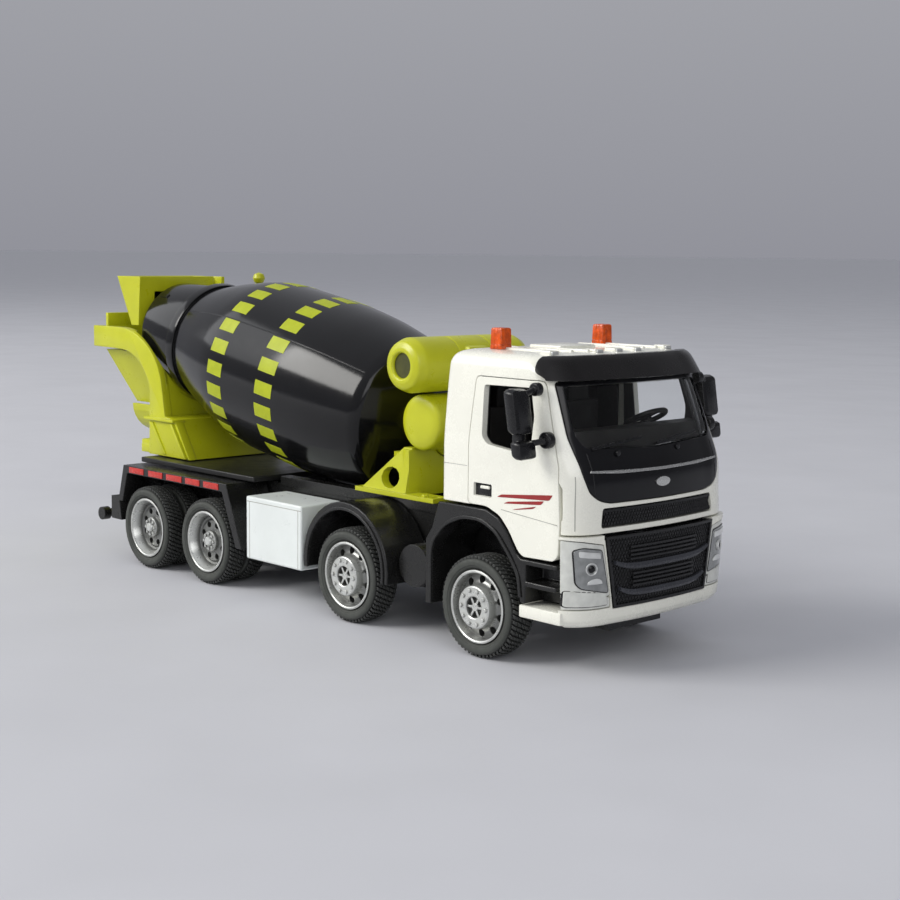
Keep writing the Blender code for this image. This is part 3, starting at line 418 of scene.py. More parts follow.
def carved(shape, cuts=(), within=()):
    """The shape kept to what is within, less the cuts, as a new bmesh."""
    obj = mesh_object("carved", shape)
    helpers = []
    for operation, tools in (("INTERSECT", within), ("DIFFERENCE", cuts)):
        for tool in tools:
            helper = mesh_object("helper", tool)
            modifier = obj.modifiers.new(operation, "BOOLEAN")
            modifier.operation = operation
            modifier.object = helper
            helpers.append(helper)
    graph = bpy.context.evaluated_depsgraph_get()
    mesh = bpy.data.meshes.new_from_object(obj.evaluated_get(graph))
    result = bmesh.new()
    result.from_mesh(mesh)
    for extra in helpers + [obj]:
        bpy.data.objects.remove(extra)
    return result


# ---- pieces


def dressed(obj, slot, body, material=None, replaces=(), sharp=SHARP):
    """Gives a piece its material, its body and the CAD nodes it stands for."""
    mesh = obj.data
    mesh.shade_smooth()
    mesh.set_sharp_from_angle(angle=sharp)
    mesh.materials.clear()
    mesh.materials.append(material or MATERIALS[slot])
    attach(obj, body)
    if replaces:
        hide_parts(*replaces)
    return obj


def place(name, bm, slot, body="truck", material=None, replaces=(), sharp=SHARP):
    """Makes a piece from a shape drawn in millimetres."""
    bmesh.ops.translate(bm, vec=(FRONT_AXLE_X, 0, 0), verts=bm.verts)
    bmesh.ops.scale(bm, vec=(MM, MM, MM), verts=bm.verts)
    return dressed(mesh_object(name, bm), slot, body, material, replaces, sharp)


def restyled(node_name, slot):
    """Gives a CAD node that is shown as it is the full material of its slot."""
    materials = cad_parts[node_name].data.materials
    materials.clear()
    materials.append(MATERIALS[slot])


def moulded(node_name, slot, body="truck", edge=0.22, material=None):
    """The CAD node's own form with its flat facets joined and its edges rounded."""
    bm = bmesh.new()
    bm.from_mesh(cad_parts[node_name].data)
    bmesh.ops.remove_doubles(bm, verts=bm.verts, dist=0.002 * MM)
    bmesh.ops.dissolve_limit(bm, angle_limit=math.radians(1.0), verts=bm.verts, edges=bm.edges)
    obj = mesh_object(node_name + "_moulded", bm)
    bevel = obj.modifiers.new("edge", "BEVEL")
    bevel.width = edge * MM
    bevel.segments = 2
    bevel.limit_method = "ANGLE"
    bevel.angle_limit = math.radians(38)
    return dressed(obj, slot, body, material, [node_name])


# ---- cab surface


def eased(levels, steps=5):
    """More levels between the given ones, on a smooth curve through them."""
    rows = [tuple(level[:4]) + tuple(level[4]) for level in levels]
    result = []
    for i in range(len(rows) - 1):
        a, b, c, d = rows[max(i - 1, 0)], rows[i], rows[i + 1], rows[min(i + 2, len(rows) - 1)]
        for step in range(steps):
            t = step / steps
            row = [
                0.5 * (2 * q + (r - p) * t + (2 * p - 5 * q + 4 * r - s) * t * t
                       + (3 * q - p - 3 * r + s) * t ** 3)
                for p, q, r, s in zip(a, b, c, d)
            ]
            result.append(row)
    result.append(list(rows[-1]))
    return result


def plan(z, nose, half_width, rear, corner_x, corner_y):
    """One level of the cab: a nearly flat nose, round front corners, small round rear corners."""
    straight = half_width - corner_y
    centre_x = nose - NOSE_CROWN * straight ** 2 - corner_x
    half = [(nose - NOSE_CROWN * y * y, y) for y in (straight * i / 8 for i in range(8))]
    half += arc((centre_x, straight), (corner_x, corner_y), 0, 90, 12)
    half += arc((rear + 1.5, half_width - 1.5), (1.5, 1.5), 90, 180, 4)
    other = [(x, -y) for x, y in reversed(half[1:])]
    return [(x, y, z) for x, y in half + other]


def cab_solid(levels, inset=0.0, bottom=None):
    rings = []
    for i, (z, nose, half_width, rear, corner_x, corner_y) in enumerate(eased(levels)):
        if i == 0 and bottom is not None:
            z = bottom
        if z > ROOF_START:
            z -= inset
        rings.append(plan(z, nose - inset, half_width - inset, rear + inset, corner_x, corner_y))
    return loft(rings)


def nose_x(levels, y, z):
    """How far forward the surface is at a height and a distance from the middle."""
    rows = eased(levels)
    for low, high in zip(rows, rows[1:]):
        if z <= high[0]:
            break
    t = min(max((z - low[0]) / (high[0] - low[0]), 0.0), 1.0)
    _, nose, half_width, _, corner_x, corner_y = [a + (b - a) * t for a, b in zip(low, high)]
    straight = half_width - corner_y
    y = abs(y)
    if y <= straight:
        return nose - NOSE_CROWN * y * y
    across = min((y - straight) / corner_y, 1.0)
    return nose - NOSE_CROWN * straight ** 2 - corner_x * (1 - math.sqrt(1 - across * across))


def on_nose(levels, outline, proud, depth):
    """A thin plate with the given (y, z) outline that lies on the front surface."""
    points = []
    for a, b in zip(outline, outline[1:] + outline[:1]):
        pieces = max(1, round((Vector(b) - Vector(a)).length / 1.2))
        points += [tuple(Vector(a).lerp(Vector(b), i / pieces)) for i in range(pieces)]
    middle = sum((Vector(p) for p in points), Vector((0, 0))) / len(points)
    rings = []
    for share in (0.25, 0.5, 0.75, 1.0):
        ring = [middle.lerp(Vector(p), share) for p in points]
        rings.append([(nose_x(levels, y, z) + proud, y, z) for y, z in ring])
    rings.append([(x - depth, y, z) for x, y, z in rings[-1]])
    return loft(rings)


def across(outline, side):
    return [(side * y, z) for y, z in outline]


def mirrored(half):
    return half + [(-y, z) for y, z in reversed([p for p in half if p[0] > 0])]


DOOR = [(-2.7, 31.4), (-2.7, 44.0), (-1.9, 56.95), (15.9, 56.95), (21.2, 41.0), (21.9, 29.8), (21.7, 24.1),
        (20.8, 22.9), (12.6, 22.7), (11.3, 23.7), (8.7, 27.5), (6.2, 30.0), (2.5, 31.4)]
HINGE_RELIEF = [(21.2, 31.0), (22.4, 31.0), (22.2, 37.0), (21.6, 38.0), (21.2, 37.0)]
WINDOW = [(0.4, 55.4), (13.2, 55.6), (14.6, 50.0), (14.2, 43.0), (10.0, 43.0), (2.3, 43.8), (0.8, 45.2)]
MASK = [(0.0, 56.9), (21.0, 56.9), (21.6, 46.5), (20.7, 39.5), (19.6, 36.2), (17.6, 34.7), (14.8, 34.0),
        (0.0, 33.9)]
GLASS = [(0.0, 56.0), (19.8, 56.0), (20.3, 47.0), (19.0, 44.6), (0.0, 43.8)]
UPPER_GRILLE = [(0.0, 32.8), (16.5, 32.8), (17.0, 29.4), (0.0, 29.4)]
LOWER_GRILLE = [(0.0, 27.6), (16.5, 27.6), (14.1, 13.5), (0.0, 13.5)]
LAMP_CORNER = [(16.9, 26.0), (21.5, 26.9), (26.0, 27.4), (26.0, 13.8), (14.9, 13.8), (15.0, 15.6)]
UPPER_LAMP = [(16.9, 26.0), (21.5, 26.9), (26.0, 27.4), (26.0, 17.2), (15.1, 16.0)]
LOWER_LAMP = [(15.05, 15.7), (26.0, 16.9), (26.0, 13.8), (14.9, 13.8)]
LENS = [(17.4, 25.1), (21.6, 25.8), (23.2, 25.4), (22.6, 19.0), (21.8, 18.0), (15.6, 16.7)]
GAP = 0.3
MIRROR_LEAN = 0.17
STRIPE_LEAN = 0.9
# How far across each roof lamp is, and its front
ROOF_LAMPS = ((0, 15.4), (5.9, 15.4), (-5.9, 15.4), (17.4, 13.9), (-17.4, 13.9))


def make_cab():
    """The painted shell, the parts on its roof and its grooves, and the doors."""
    cuts = [
        cab_solid(CAB_LEVELS, SKIN, bottom=20),
        prism("Y", grown(filleted(DOOR, 1.0), GAP * 0.5), -30, 30),
        block((-20, 22.2), (-30, 30), (20, 31.3)),
        prism("Y", HINGE_RELIEF, -30, 30),
        prism("X", grown(filleted(mirrored(MASK), 1.0), GAP * 0.7), 8, 40),
        prism("X", grown(filleted(mirrored(UPPER_GRILLE), 0.5), GAP * 0.7), 15, 40),
    ]
    place("cab_shell_painted", carved(cab_solid(CAB_LEVELS), cuts), "cab_white", replaces=["cab_shell"])
    roof = [block((-4.6, 4.2), (-5.4, 5.4), (61.6, 62.65), 0.35)]
    for y in (-15.2, -11.0, 11.0, 15.2):
        roof.append(block((-5.5, 12.6), (y - 0.45, y + 0.45), (61.2, 62.45), 0.3))
    for y in (-7.7, 7.7):
        roof.append(block((5.4, 14.0), (y - 0.4, y + 0.4), (61.2, 62.5), 0.3))
    lenses = []
    for y, front in ROOF_LAMPS:
        roof.append(block((front - 3.2, front - 0.3), (y - 1.2, y + 1.2), (60.8, 62.6), 0.3))
        lenses.append(block((front - 0.5, front), (y - 0.9, y + 0.9), (61.3, 62.4), 0.12))
    place("roof_ribs", merged(roof), "cab_white")
    place("roof_lamp_lenses", merged(lenses), "lamp_silver")
    for side_name, side in SIDES.items():
        make_door(side_name, side)
    seams = []
    for side in SIDES.values():
        corner = across([(22.35, 29.0), (22.47, 29.0), (22.2, 39.4), (22.08, 39.4)], side)
        seams.append(block((-10.0, -3.1), on_side(side, 24.0, 24.43), (38.85, 38.97)))
        seams.append(on_nose(CAB_LEVELS, corner, 0.03, 0.2))
    place("cab_seams", merged(seams), "cab_white", material=SEAM)


def make_door(side_name, side):
    """A door's painted skin, handle, dark lining, plain stripes and crease."""
    name, body = f"door_{side_name}", f"{side_name}_door"

    def opening():
        return prism("Y", filleted(WINDOW, 0.7), *on_side(side, 12, 30))

    cuts = [
        cab_solid(CAB_LEVELS, SKIN, bottom=15),
        opening(),
        block((-1.2, 3.9), on_side(side, 23.7, 30), (33.2, 35.8), 0.3),
    ]
    within = [prism("Y", filleted(DOOR, 1.0), *on_side(side, 21.4, 30))]
    skin = carved(cab_solid(CAB_LEVELS, bottom=20), cuts, within)
    place(f"{name}_painted", skin, "cab_white", body, replaces=[name])
    well = block((-1.15, 3.85), on_side(side, 23.5, 23.9), (33.25, 35.75), 0.15)
    place(f"{name}_handle_well", well, "trim_black", body)
    grip = block((0.7, 3.2), on_side(side, 23.95, 24.5), (34.75, 35.4), 0.2)
    place(f"{name}_handle", grip, "cab_white", body)
    outline = [(-2.4, 40.0), (-1.8, 56.5), (15.4, 56.5), (20.6, 40.0)]
    cuts = [cab_solid(CAB_LEVELS, SKIN + 0.35, bottom=20), opening()]
    within = [prism("Y", outline, *on_side(side, 19, 30))]
    place(f"{name}_lining", carved(cab_solid(CAB_LEVELS, SKIN + 0.03), cuts, within), "interior_black", body)
    stripes = []
    for i, (start, end, low) in enumerate(((5.4, 19.4, 33.6), (7.2, 17.2, 32.5), (9.6, 15.2, 31.5))):
        high = low + STRIPE_LEAN
        outline = [(start, low), (end, high), (end + 0.9, high + 1.15 - 0.3 * i),
                   (start + 1.2, low + 0.62 - 0.12 * i)]
        stripes.append(prism("Y", filleted(outline, 0.35, 3), *on_side(side, 24.2, 24.46)))
    place(f"{name}_stripes", merged(stripes), "cab_white", body, PRINT_RED)
    line = [(6.6, 31.28), (21.4, 30.05), (21.4, 29.93), (6.6, 31.16)]
    place(f"{name}_crease", prism("Y", line, *on_side(side, 24.0, 24.475)), "cab_white", body, SEAM)


def honeycomb(levels, outline, cell, proud):
    """Raised hexagon rims over half an outline and its mirror image, each with a sunk middle."""
    (y0, top), (y1, bottom) = outline[1:3]
    pitch = cell * 0.866
    bm = bmesh.new()
    for row in range(int((top - bottom) / (cell * 0.75))):
        z = bottom + cell * 0.6 + row * cell * 0.75
        if z > top - cell * 0.45:
            break
        half = y0 + (y1 - y0) * (z - top) / (bottom - top)
        count = int(half / pitch)
        for column in range(-count, count + 1):
            y = column * pitch + pitch / 2 * (row % 2)
            if abs(y) > half - cell * 0.5:
                continue
            rings = []
            for radius, out in ((0.56, -0.1), (0.52, 0.0), (0.40, 0.0), (0.38, -0.35)):
                x = nose_x(levels, y, z) + proud + out
                hexagon = arc((y, z), (cell * radius, cell * radius), 30, 330, 5)
                rings.append([bm.verts.new((x, *point)) for point in hexagon])
            for first, second in zip(rings, rings[1:]):
                bridge(bm, first, second)
            bm.faces.new(rings[-1])
            bm.faces.new(rings[0][::-1])
    bmesh.ops.recalc_face_normals(bm, faces=bm.faces)
    return bm


def make_front():
    """Black panel, glass, grilles, headlights and bumper."""
    mask, glass = mirrored(MASK), mirrored(GLASS)
    opening = prism("X", grown(filleted(glass, 1.2), 0.15), 8, 41)
    panel_cuts = [cab_solid(CAB_LEVELS, SKIN, bottom=20), opening]
    panel = carved(cab_solid(CAB_LEVELS), panel_cuts, [prism("X", filleted(mask, 1.0), 10, 40)])
    place("front_panel_gloss", panel, "gloss_black", replaces=["front_panel"])
    screen = carved(cab_solid(CAB_LEVELS, 0.3), [cab_solid(CAB_LEVELS, 1.0, bottom=20)],
                    [prism("X", filleted(glass, 1.1), 10, 40)])
    place("windscreen_clear", screen, "clear_plastic", replaces=["windscreen"])
    strip = [(-19.4, 40.0), (-12.0, 39.5), (0, 39.35), (12.0, 39.5), (19.4, 40.0), (19.2, 40.35),
             (12.0, 40.0), (0, 39.9), (-12.0, 40.0), (-19.2, 40.35)]
    place("front_strip", on_nose(CAB_LEVELS, strip, 0.22, 0.5), "lamp_silver", material=SILVER)
    badge = arc((0, 37.0), (2.1, 0.95), 0, 360, 28)[:-1]
    place("plain_badge", on_nose(CAB_LEVELS, badge, 0.25, 0.5), "lamp_silver", material=SILVER)
    trims = []
    for side in SIDES.values():
        line = across([(18.9, 43.6), (19.15, 43.6), (18.7, 36.0), (18.45, 36.0)], side)
        trims.append(on_nose(CAB_LEVELS, line, 0.05, 0.3))
    for centre in (-10.5, 7.5):
        arm = [(centre - 7.2, 44.1), (centre + 6.8, 45.6), (centre + 6.9, 46.0), (centre - 7.2, 44.6)]
        trims.append(on_nose(CAB_LEVELS, filleted(arm, 0.15, 2), 0.45, 0.5))
        x, y, z = nose_x(CAB_LEVELS, centre, 43.2), centre - 1.0, 43.2
        trims.append(rod((x - 0.5, y, z), (x + 0.5, y, z), 0.6, 16, 0.2))
    place("wipers_and_lines", merged(trims), "trim_black")
    upper = on_nose(CAB_LEVELS, filleted(mirrored(UPPER_GRILLE), 0.4, 3), -0.55, 1.0)
    mesh = honeycomb(CAB_LEVELS, UPPER_GRILLE, 0.9, -0.15)
    frame_bar = on_nose(CAB_LEVELS, [(-16.6, 32.7), (16.6, 32.7), (16.6, 32.2), (-16.6, 32.2)], -0.05, 0.8)
    place("upper_grille_mesh", merged([upper, mesh, frame_bar]), "trim_black", replaces=["upper_grille"])
    make_lower_grille()
    make_bumper()
    for side_name, side in SIDES.items():
        make_headlight(side_name, side)


def make_lower_grille():
    back = on_nose(BUMPER_LEVELS, filleted(mirrored(LOWER_GRILLE), 0.5, 3), -0.5, 1.6)
    mesh = honeycomb(BUMPER_LEVELS, LOWER_GRILLE, 0.95, 0.0)
    edge_outer = mirrored(LOWER_GRILLE)
    rim = on_nose(BUMPER_LEVELS, edge_outer, 0.3, 1.0)
    rim = carved(rim, [prism("X", grown(edge_outer, -0.55), 10, 40)])
    slats = []
    for z in (24.9, 24.1, 23.3, 22.5, 19.6, 18.8, 18.0, 17.2):
        half = 10.2 if z > 20 else 9.4
        slats.append(on_nose(BUMPER_LEVELS, [(-half, z), (half, z), (half - 0.15, z + 0.42),
                                             (-half + 0.15, z + 0.42)], 0.4, 1.1))
    place("lower_grille_mesh", merged([back, mesh, rim] + slats), "trim_black", replaces=["lower_grille"])
    bars = []
    for z, reach, rise in ((20.6, 14.3, 1.5), (15.3, 12.9, 1.5)):
        low = [(reach * i / 14, z + rise * (abs(i) / 14) ** 5) for i in range(-14, 15)]
        top = [(y, edge + 1.25 - 0.5 * (abs(y) / reach) ** 4) for y, edge in low]
        bars.append(banded(top, low, 0.85, 1.0))
    place("lower_grille_bars", merged(bars), "trim_black", "truck", GRILLE_BAR)


def banded(top, low, proud, depth):
    """A curved bar on the bumper's face between a top and a low edge."""
    bm = bmesh.new()
    middle = [(a[0], (a[1] + b[1]) / 2) for a, b in zip(top, low)]
    rows = []
    for edge, out in ((top, proud * 0.6), (middle, proud), (low, proud * 0.6), (low, -depth), (top, -depth)):
        rows.append([bm.verts.new((nose_x(BUMPER_LEVELS, y, z) + out, y, z)) for y, z in edge])
    for first, second in zip(rows, rows[1:] + rows[:1]):
        for i in range(1, len(first)):
            bm.faces.new((first[i - 1], first[i], second[i], second[i - 1]))
    bm.faces.new([row[0] for row in rows])
    bm.faces.new([row[-1] for row in rows][::-1])
    return facing_out(bm)


def make_bumper():
    inside = (25.8, 22.5, 5.0, 7.0, 9.0)
    cuts = [
        block((0, 22.2), (-30, 30), (5, 35)),
        prism("X", grown(mirrored(LOWER_GRILLE), GAP * 0.6), 15, 40),
        block((15, 40), (-16.75, 16.75), (27, 35)),
        loft([plan(12.4, *inside), plan(35, *inside)]),
    ]
    for side in SIDES.values():
        cuts.append(prism("X", across(grown(LAMP_CORNER, GAP * 0.5), side), 15, 40))
    shell = carved(cab_solid(BUMPER_LEVELS), cuts)
    steps = [block((11.9, 22.9), on_side(side, 18.0, 24.5), (10.6, 13.1), 0.3) for side in SIDES.values()]
    place("bumper_painted", merged([shell] + steps), "cab_white", replaces=["bumper"])


def make_headlight(side_name, side):
    """A clear corner cover over a silver reflector, with a fog lamp under it."""
    for name, outline, inset, replaced in (("headlight_{}_cover", UPPER_LAMP, 0.08, True),
                                           ("fog_lamp_{}_cover", LOWER_LAMP, 0.16, False)):
        behind = [cab_solid(BUMPER_LEVELS, 1.9, bottom=5), block((0, 22.5), (-30, 30), (5, 35))]
        cover = carved(cab_solid(BUMPER_LEVELS, inset), behind,
                       [prism("X", across(filleted(outline, 0.5, 3), side), 15, 40)])
        place(name.format(side_name), cover, "lamp_silver", "truck", LAMP_WHITE,
              [f"headlight_{side_name}"] if replaced else ())
    lens = across(filleted(LENS, 0.5, 3), side)
    place(f"headlight_{side_name}_lens", on_nose(BUMPER_LEVELS, lens, 0.06, 0.5), "lamp_silver",
          "truck", LAMP_DARK)
    border = on_nose(BUMPER_LEVELS, across(grown(filleted(LENS, 0.5, 3), 0.16), side), 0.02, 0.5)
    inner = [(16.0, 16.7), (24.0, 17.5), (24.0, 14.4), (15.6, 14.3)]
    fog_border = on_nose(BUMPER_LEVELS, across(grown(filleted(inner, 0.4, 3), 0.12), side), -0.09, 0.3)
    place(f"headlight_{side_name}_borders", merged([border, fog_border]), "lamp_silver", "truck",
          MATERIALS["trim_black"])
    fog = on_nose(BUMPER_LEVELS, across(filleted(inner, 0.4, 3), side), 0.0, 0.4)
    place(f"fog_lamp_{side_name}_lens", fog, "lamp_silver", "truck", LAMP_WHITE)
    details = []
    y, z = side * 19.9, 21.7
    x = nose_x(BUMPER_LEVELS, y, z)
    outward = Vector((1.0, side * 0.45, 0.0)).normalized()
    ring = [(1.25, -0.3), (1.25, 0.22), (1.12, 0.34), (0.95, 0.22), (0.9, -0.3)]
    details.append(turned(ring, (x, y, z), outward, 32))
    moon = across(arc((19.0, 18.7), (1.7, 1.15), 0, 180, 12), side)
    details.append(on_nose(BUMPER_LEVELS, moon, 0.24, 0.5))
    bar = [(17.9, 24.7), (22.4, 25.3), (22.3, 24.1), (17.7, 23.5)]
    details.append(on_nose(BUMPER_LEVELS, across(filleted(bar, 0.2, 2), side), 0.22, 0.4))
    place(f"headlight_{side_name}_chrome", merged(details), "lamp_silver")
    eye = turned([(0, -0.3), (0.85, -0.3), (0.7, 0.14), (0.4, 0.3), (0, 0.36)], (x, y, z), outward, 24)
    place(f"headlight_{side_name}_eye", eye, "lamp_silver", "truck", MATERIALS["gloss_black"])


def make_visor():
    roof = cab_solid(CAB_LEVELS, -0.25, bottom=20)
    behind = filleted([(-5, 50), (17.6, 50), (17.2, 57.4), (14.4, 58.8), (14.4, 70), (-5, 70)], 0.9)
    visor = carved(cab_solid(VISOR_LEVELS), [roof, prism("Y", behind, -30, 30)])
    place("sun_visor_smoked", visor, "visor_smoke", replaces=["sun_visor"])


def make_beacons():
    """Square orange lamps with rounded edges, a shallow flute down each face and a seam near the foot."""
    for side_name, side in SIDES.items():
        x, y, z = -2.9, side * 15.5, 62.05
        rings = []
        for height, half in ((0.0, 1.62), (0.8, 1.6), (0.9, 1.5), (1.0, 1.58), (3.9, 1.5), (4.2, 1.38),
                             (4.3, 1.1)):
            one_side = [(-half, half), (-0.5, half), (-0.3, half - 0.12), (0.3, half - 0.12), (0.5, half)]
            outline = []
            for turn in range(4):
                angle = -math.pi / 2 * turn
                for px, py in one_side:
                    outline.append((x + px * math.cos(angle) - py * math.sin(angle),
                                    y + px * math.sin(angle) + py * math.cos(angle)))
            rings.append([(px, py, z + height) for px, py in filleted(outline, 0.3, 3)])
        place(f"beacon_{side_name}_lamp", loft(rings), "beacon_orange", replaces=[f"beacon_{side_name}"])


def make_interior():
    moulded("cab_interior", "interior_black", edge=0.5)
    within = [block((16.6, 30), (-20.4, 20.4), (42.1, 47.3), 0.4)]
    shapes = [carved(cab_solid(CAB_LEVELS, 1.9, bottom=20), (), within)]
    shapes += [block((16.45, 16.75), (y - 2.0, y + 2.0), (44.2, 45.8), 0.1) for y in (-16, -5, 5, 16)]
    place("dashboard_hood", merged(shapes), "interior_black")
    for side_name, side in SIDES.items():
        pillar = block((-9.2, -2.9), on_side(side, 21.1, 21.5), (33.0, 57.0), 0.15)
        place(f"cab_lining_{side_name}", pillar, "interior_black")
    place("cab_lining_rear", block((-9.3, -8.9), (-21.4, 21.4), (33.0, 57.5), 0.15), "interior_black")
    place("cab_lining_roof", block((-9.0, 11.5), (-18.5, 18.5), (59.6, 60.0), 0.15), "interior_black")
    column = Vector((-0.45, 0.0, 0.89)).normalized()
    centre = Vector((13.6, 10.6, 47.6))
    shapes = [
        turned(arc((4.3, 0), (0.55, 0.55), 0, 360, 12)[:-1], centre, column, 40),
        rod(centre - column * 0.5, centre + column * 0.3, 1.2, 24, 0.2),
        rod(centre - column * 5.2, centre, 0.7, 16),
    ]
    turn = Vector((0, 0, 1)).rotation_difference(column).to_matrix().to_4x4()
    for angle in (0, 120, 240):
        spoke = block((0.6, 4.1), (-0.45, 0.45), (-0.2, 0.2), 0.1)
        spin = Matrix.Rotation(math.radians(angle), 4, "Z")
        bmesh.ops.transform(spoke, matrix=Matrix.Translation(centre) @ turn @ spin, verts=spoke.verts)
        shapes.append(spoke)
    place("steering_wheel_ring", merged(shapes), "interior_black", replaces=["steering_wheel"])


def tilted(shape):
    """The shape leaned back with the windscreen, its middle height staying where it is."""
    for vert in shape.verts:
        vert.co.x -= MIRROR_LEAN * (vert.co.z - 50.0)
    return shape


def make_mirrors():
    for side_name, side in SIDES.items():
        body = side_name + "_door"
        large = [(31.4, 48.0), (31.5, 55.2), (30.6, 55.9), (27.0, 55.7), (26.3, 54.8), (26.3, 48.0),
                 (27.0, 47.2), (30.7, 47.2)]
        small = [(31.2, 43.2), (31.3, 46.0), (26.4, 46.0), (26.4, 42.6), (30.5, 42.5)]
        shapes = [
            tilted(prism("X", across(filleted(large, 1.5, 6), side), 14.0, 16.9, 1.0)),
            tilted(prism("X", across(filleted(small, 0.9, 5), side), 14.3, 17.0, 0.8)),
            block((14.6, 16.4), on_side(side, 28, 30), (45.5, 47.8), 0.3),
            rod((15.9, side * 24.0, 55.6), (15.9, side * 25.6, 55.6), 1.3, 24, 0.3),
            rod((15.9, side * 25.2, 55.6), (15.6, side * 27.4, 54.9), 0.55, 16),
            rod((18.9, side * 23.9, 46.1), (18.9, side * 25.6, 46.1), 1.6, 24, 0.35),
            rod((18.9, side * 25.3, 46.0), (16.2, side * 27.2, 45.3), 0.6, 16),
        ]
        place(f"mirror_{side_name}_housings", merged(shapes), "trim_black", body,
              replaces=[f"mirror_{side_name}"])
        glasses = [
            tilted(prism("X", across(filleted(grown(large, -1.1), 0.8), side), 13.93, 14.1)),
            tilted(prism("X", across(filleted(grown(small, -0.9), 0.5), side), 14.23, 14.4)),
        ]
        place(f"mirror_{side_name}_glass", merged(glasses), "trim_black", body, MIRROR_GLASS)


# ---- wheels


# The six sides of a tread block, by the order in which its corners are made
BLOCK_FACES = ((0, 1, 3, 2), (4, 6, 7, 5), (0, 4, 5, 1), (2, 3, 7, 6), (1, 5, 7, 3), (0, 2, 6, 4))


def tyre_shape(width, rows, blocks=60):
    """One tyre and its slanted tread blocks, its outer face at y = 0 and its body inboard."""
    side = [(7.62, 1.1), (7.72, 0.7), (8.15, 0.28), (8.3, 0.3), (8.45, 0.1), (9.0, 0.0), (9.45, 0.06),
            (9.72, 0.3), (9.85, 0.75), (9.85, 1.1)]
    profile = side + [(r, width - d) for r, d in reversed(side)]
    carcass = turned([(r, -d) for r, d in profile], (0, 0, 0), (0, 1, 0), 72)
    tread = bmesh.new()
    span = (width - 1.1) / rows
    pitch = math.tau / blocks
    for row in range(rows):
        near, far = 0.55 + span * row + 0.16, 0.55 + span * (row + 1) - 0.16
        for k in range(blocks):
            start = pitch * (k + 0.5 * (row % 2))
            corners = []
            for d, lean in ((near, 0.0), (far, 0.5)):
                top = 10.3 if d < 0.8 or d > width - 0.8 else 10.5
                for angle in (start + pitch * lean, start + pitch * (lean + 0.55)):
                    for radius in (9.7, top):
                        spot = (radius * math.cos(angle), -d, radius * math.sin(angle))
                        corners.append(tread.verts.new(spot))
            for face in BLOCK_FACES:
                tread.faces.new([corners[i] for i in face])
    bmesh.ops.recalc_face_normals(tread, faces=tread.faces)
    return carcass, tread


def rim_shape(twin):
    """A raised bolted hub on a holed cone, or a small hub deep in a dish."""
    flange = [(6.85, 0.8), (6.95, 0.42), (7.2, 0.3), (7.5, 0.4), (7.6, 0.8)]
    if twin:
        face = [(0, 0.9), (0.9, 0.9), (1.15, 1.15), (1.3, 1.55), (2.3, 1.6), (2.5, 1.8), (2.6, 2.6),
                (3.2, 2.75), (4.9, 2.75), (5.4, 3.1), (5.9, 2.9), (6.4, 1.3)]
        back = [(7.6, 10.9), (6.0, 7.6), (1.8, 7.6), (1.8, 5.2), (0, 5.2)]
        hole_at, bolt_at, count, depth, hole = 4.1, 1.85, 8, 1.58, 0.78
    else:
        face = [(0, -0.15), (0.75, -0.15), (0.95, 0.1), (1.05, 0.5), (2.05, 0.65), (2.2, -0.35), (2.4, -0.5),
                (4.1, -0.5), (4.35, -0.3), (4.42, 1.2), (4.8, 1.75), (5.4, 2.0), (6.4, 2.1), (6.65, 1.8)]
        back = [(7.6, 5.8), (6.2, 4.4), (1.8, 4.4), (1.8, 2.3), (0, 2.3)]
        hole_at, bolt_at, count, depth, hole = 5.55, 3.5, 10, -0.5, 0.82
    profile = face + flange + back
    body = turned([(r, -d) for r, d in profile], (0, 0, 0), (0, 1, 0), 64)
    cutters, details = [], []
    for k in range(count):
        angle = math.tau * (k + 0.5) / count
        middle = Vector((hole_at * math.cos(angle), 0, hole_at * math.sin(angle)))
        cutters.append(rod(middle + Vector((0, 0.5, 0)), middle - Vector((0, 9.5, 0)), hole, 12))
        angle = math.tau * k / count
        middle = Vector((bolt_at * math.cos(angle), -depth, bolt_at * math.sin(angle)))
        details.append(rod(middle - Vector((0, 0.3, 0)), middle + Vector((0, 0.34, 0)), 0.4, 6, 0.1))
    body = carved(body, [merged(cutters)])
    for k in range(0 if twin else 6):
        angle = math.tau * k / 6
        rib = block((0.7, 2.3), (-0.8, 0.1), (-0.26, 0.26), 0.08)
        bmesh.ops.rotate(rib, cent=(0, 0, 0), matrix=Matrix.Rotation(angle, 3, "Y"), verts=rib.verts)
        details.append(rib)
    return merged([body] + details)


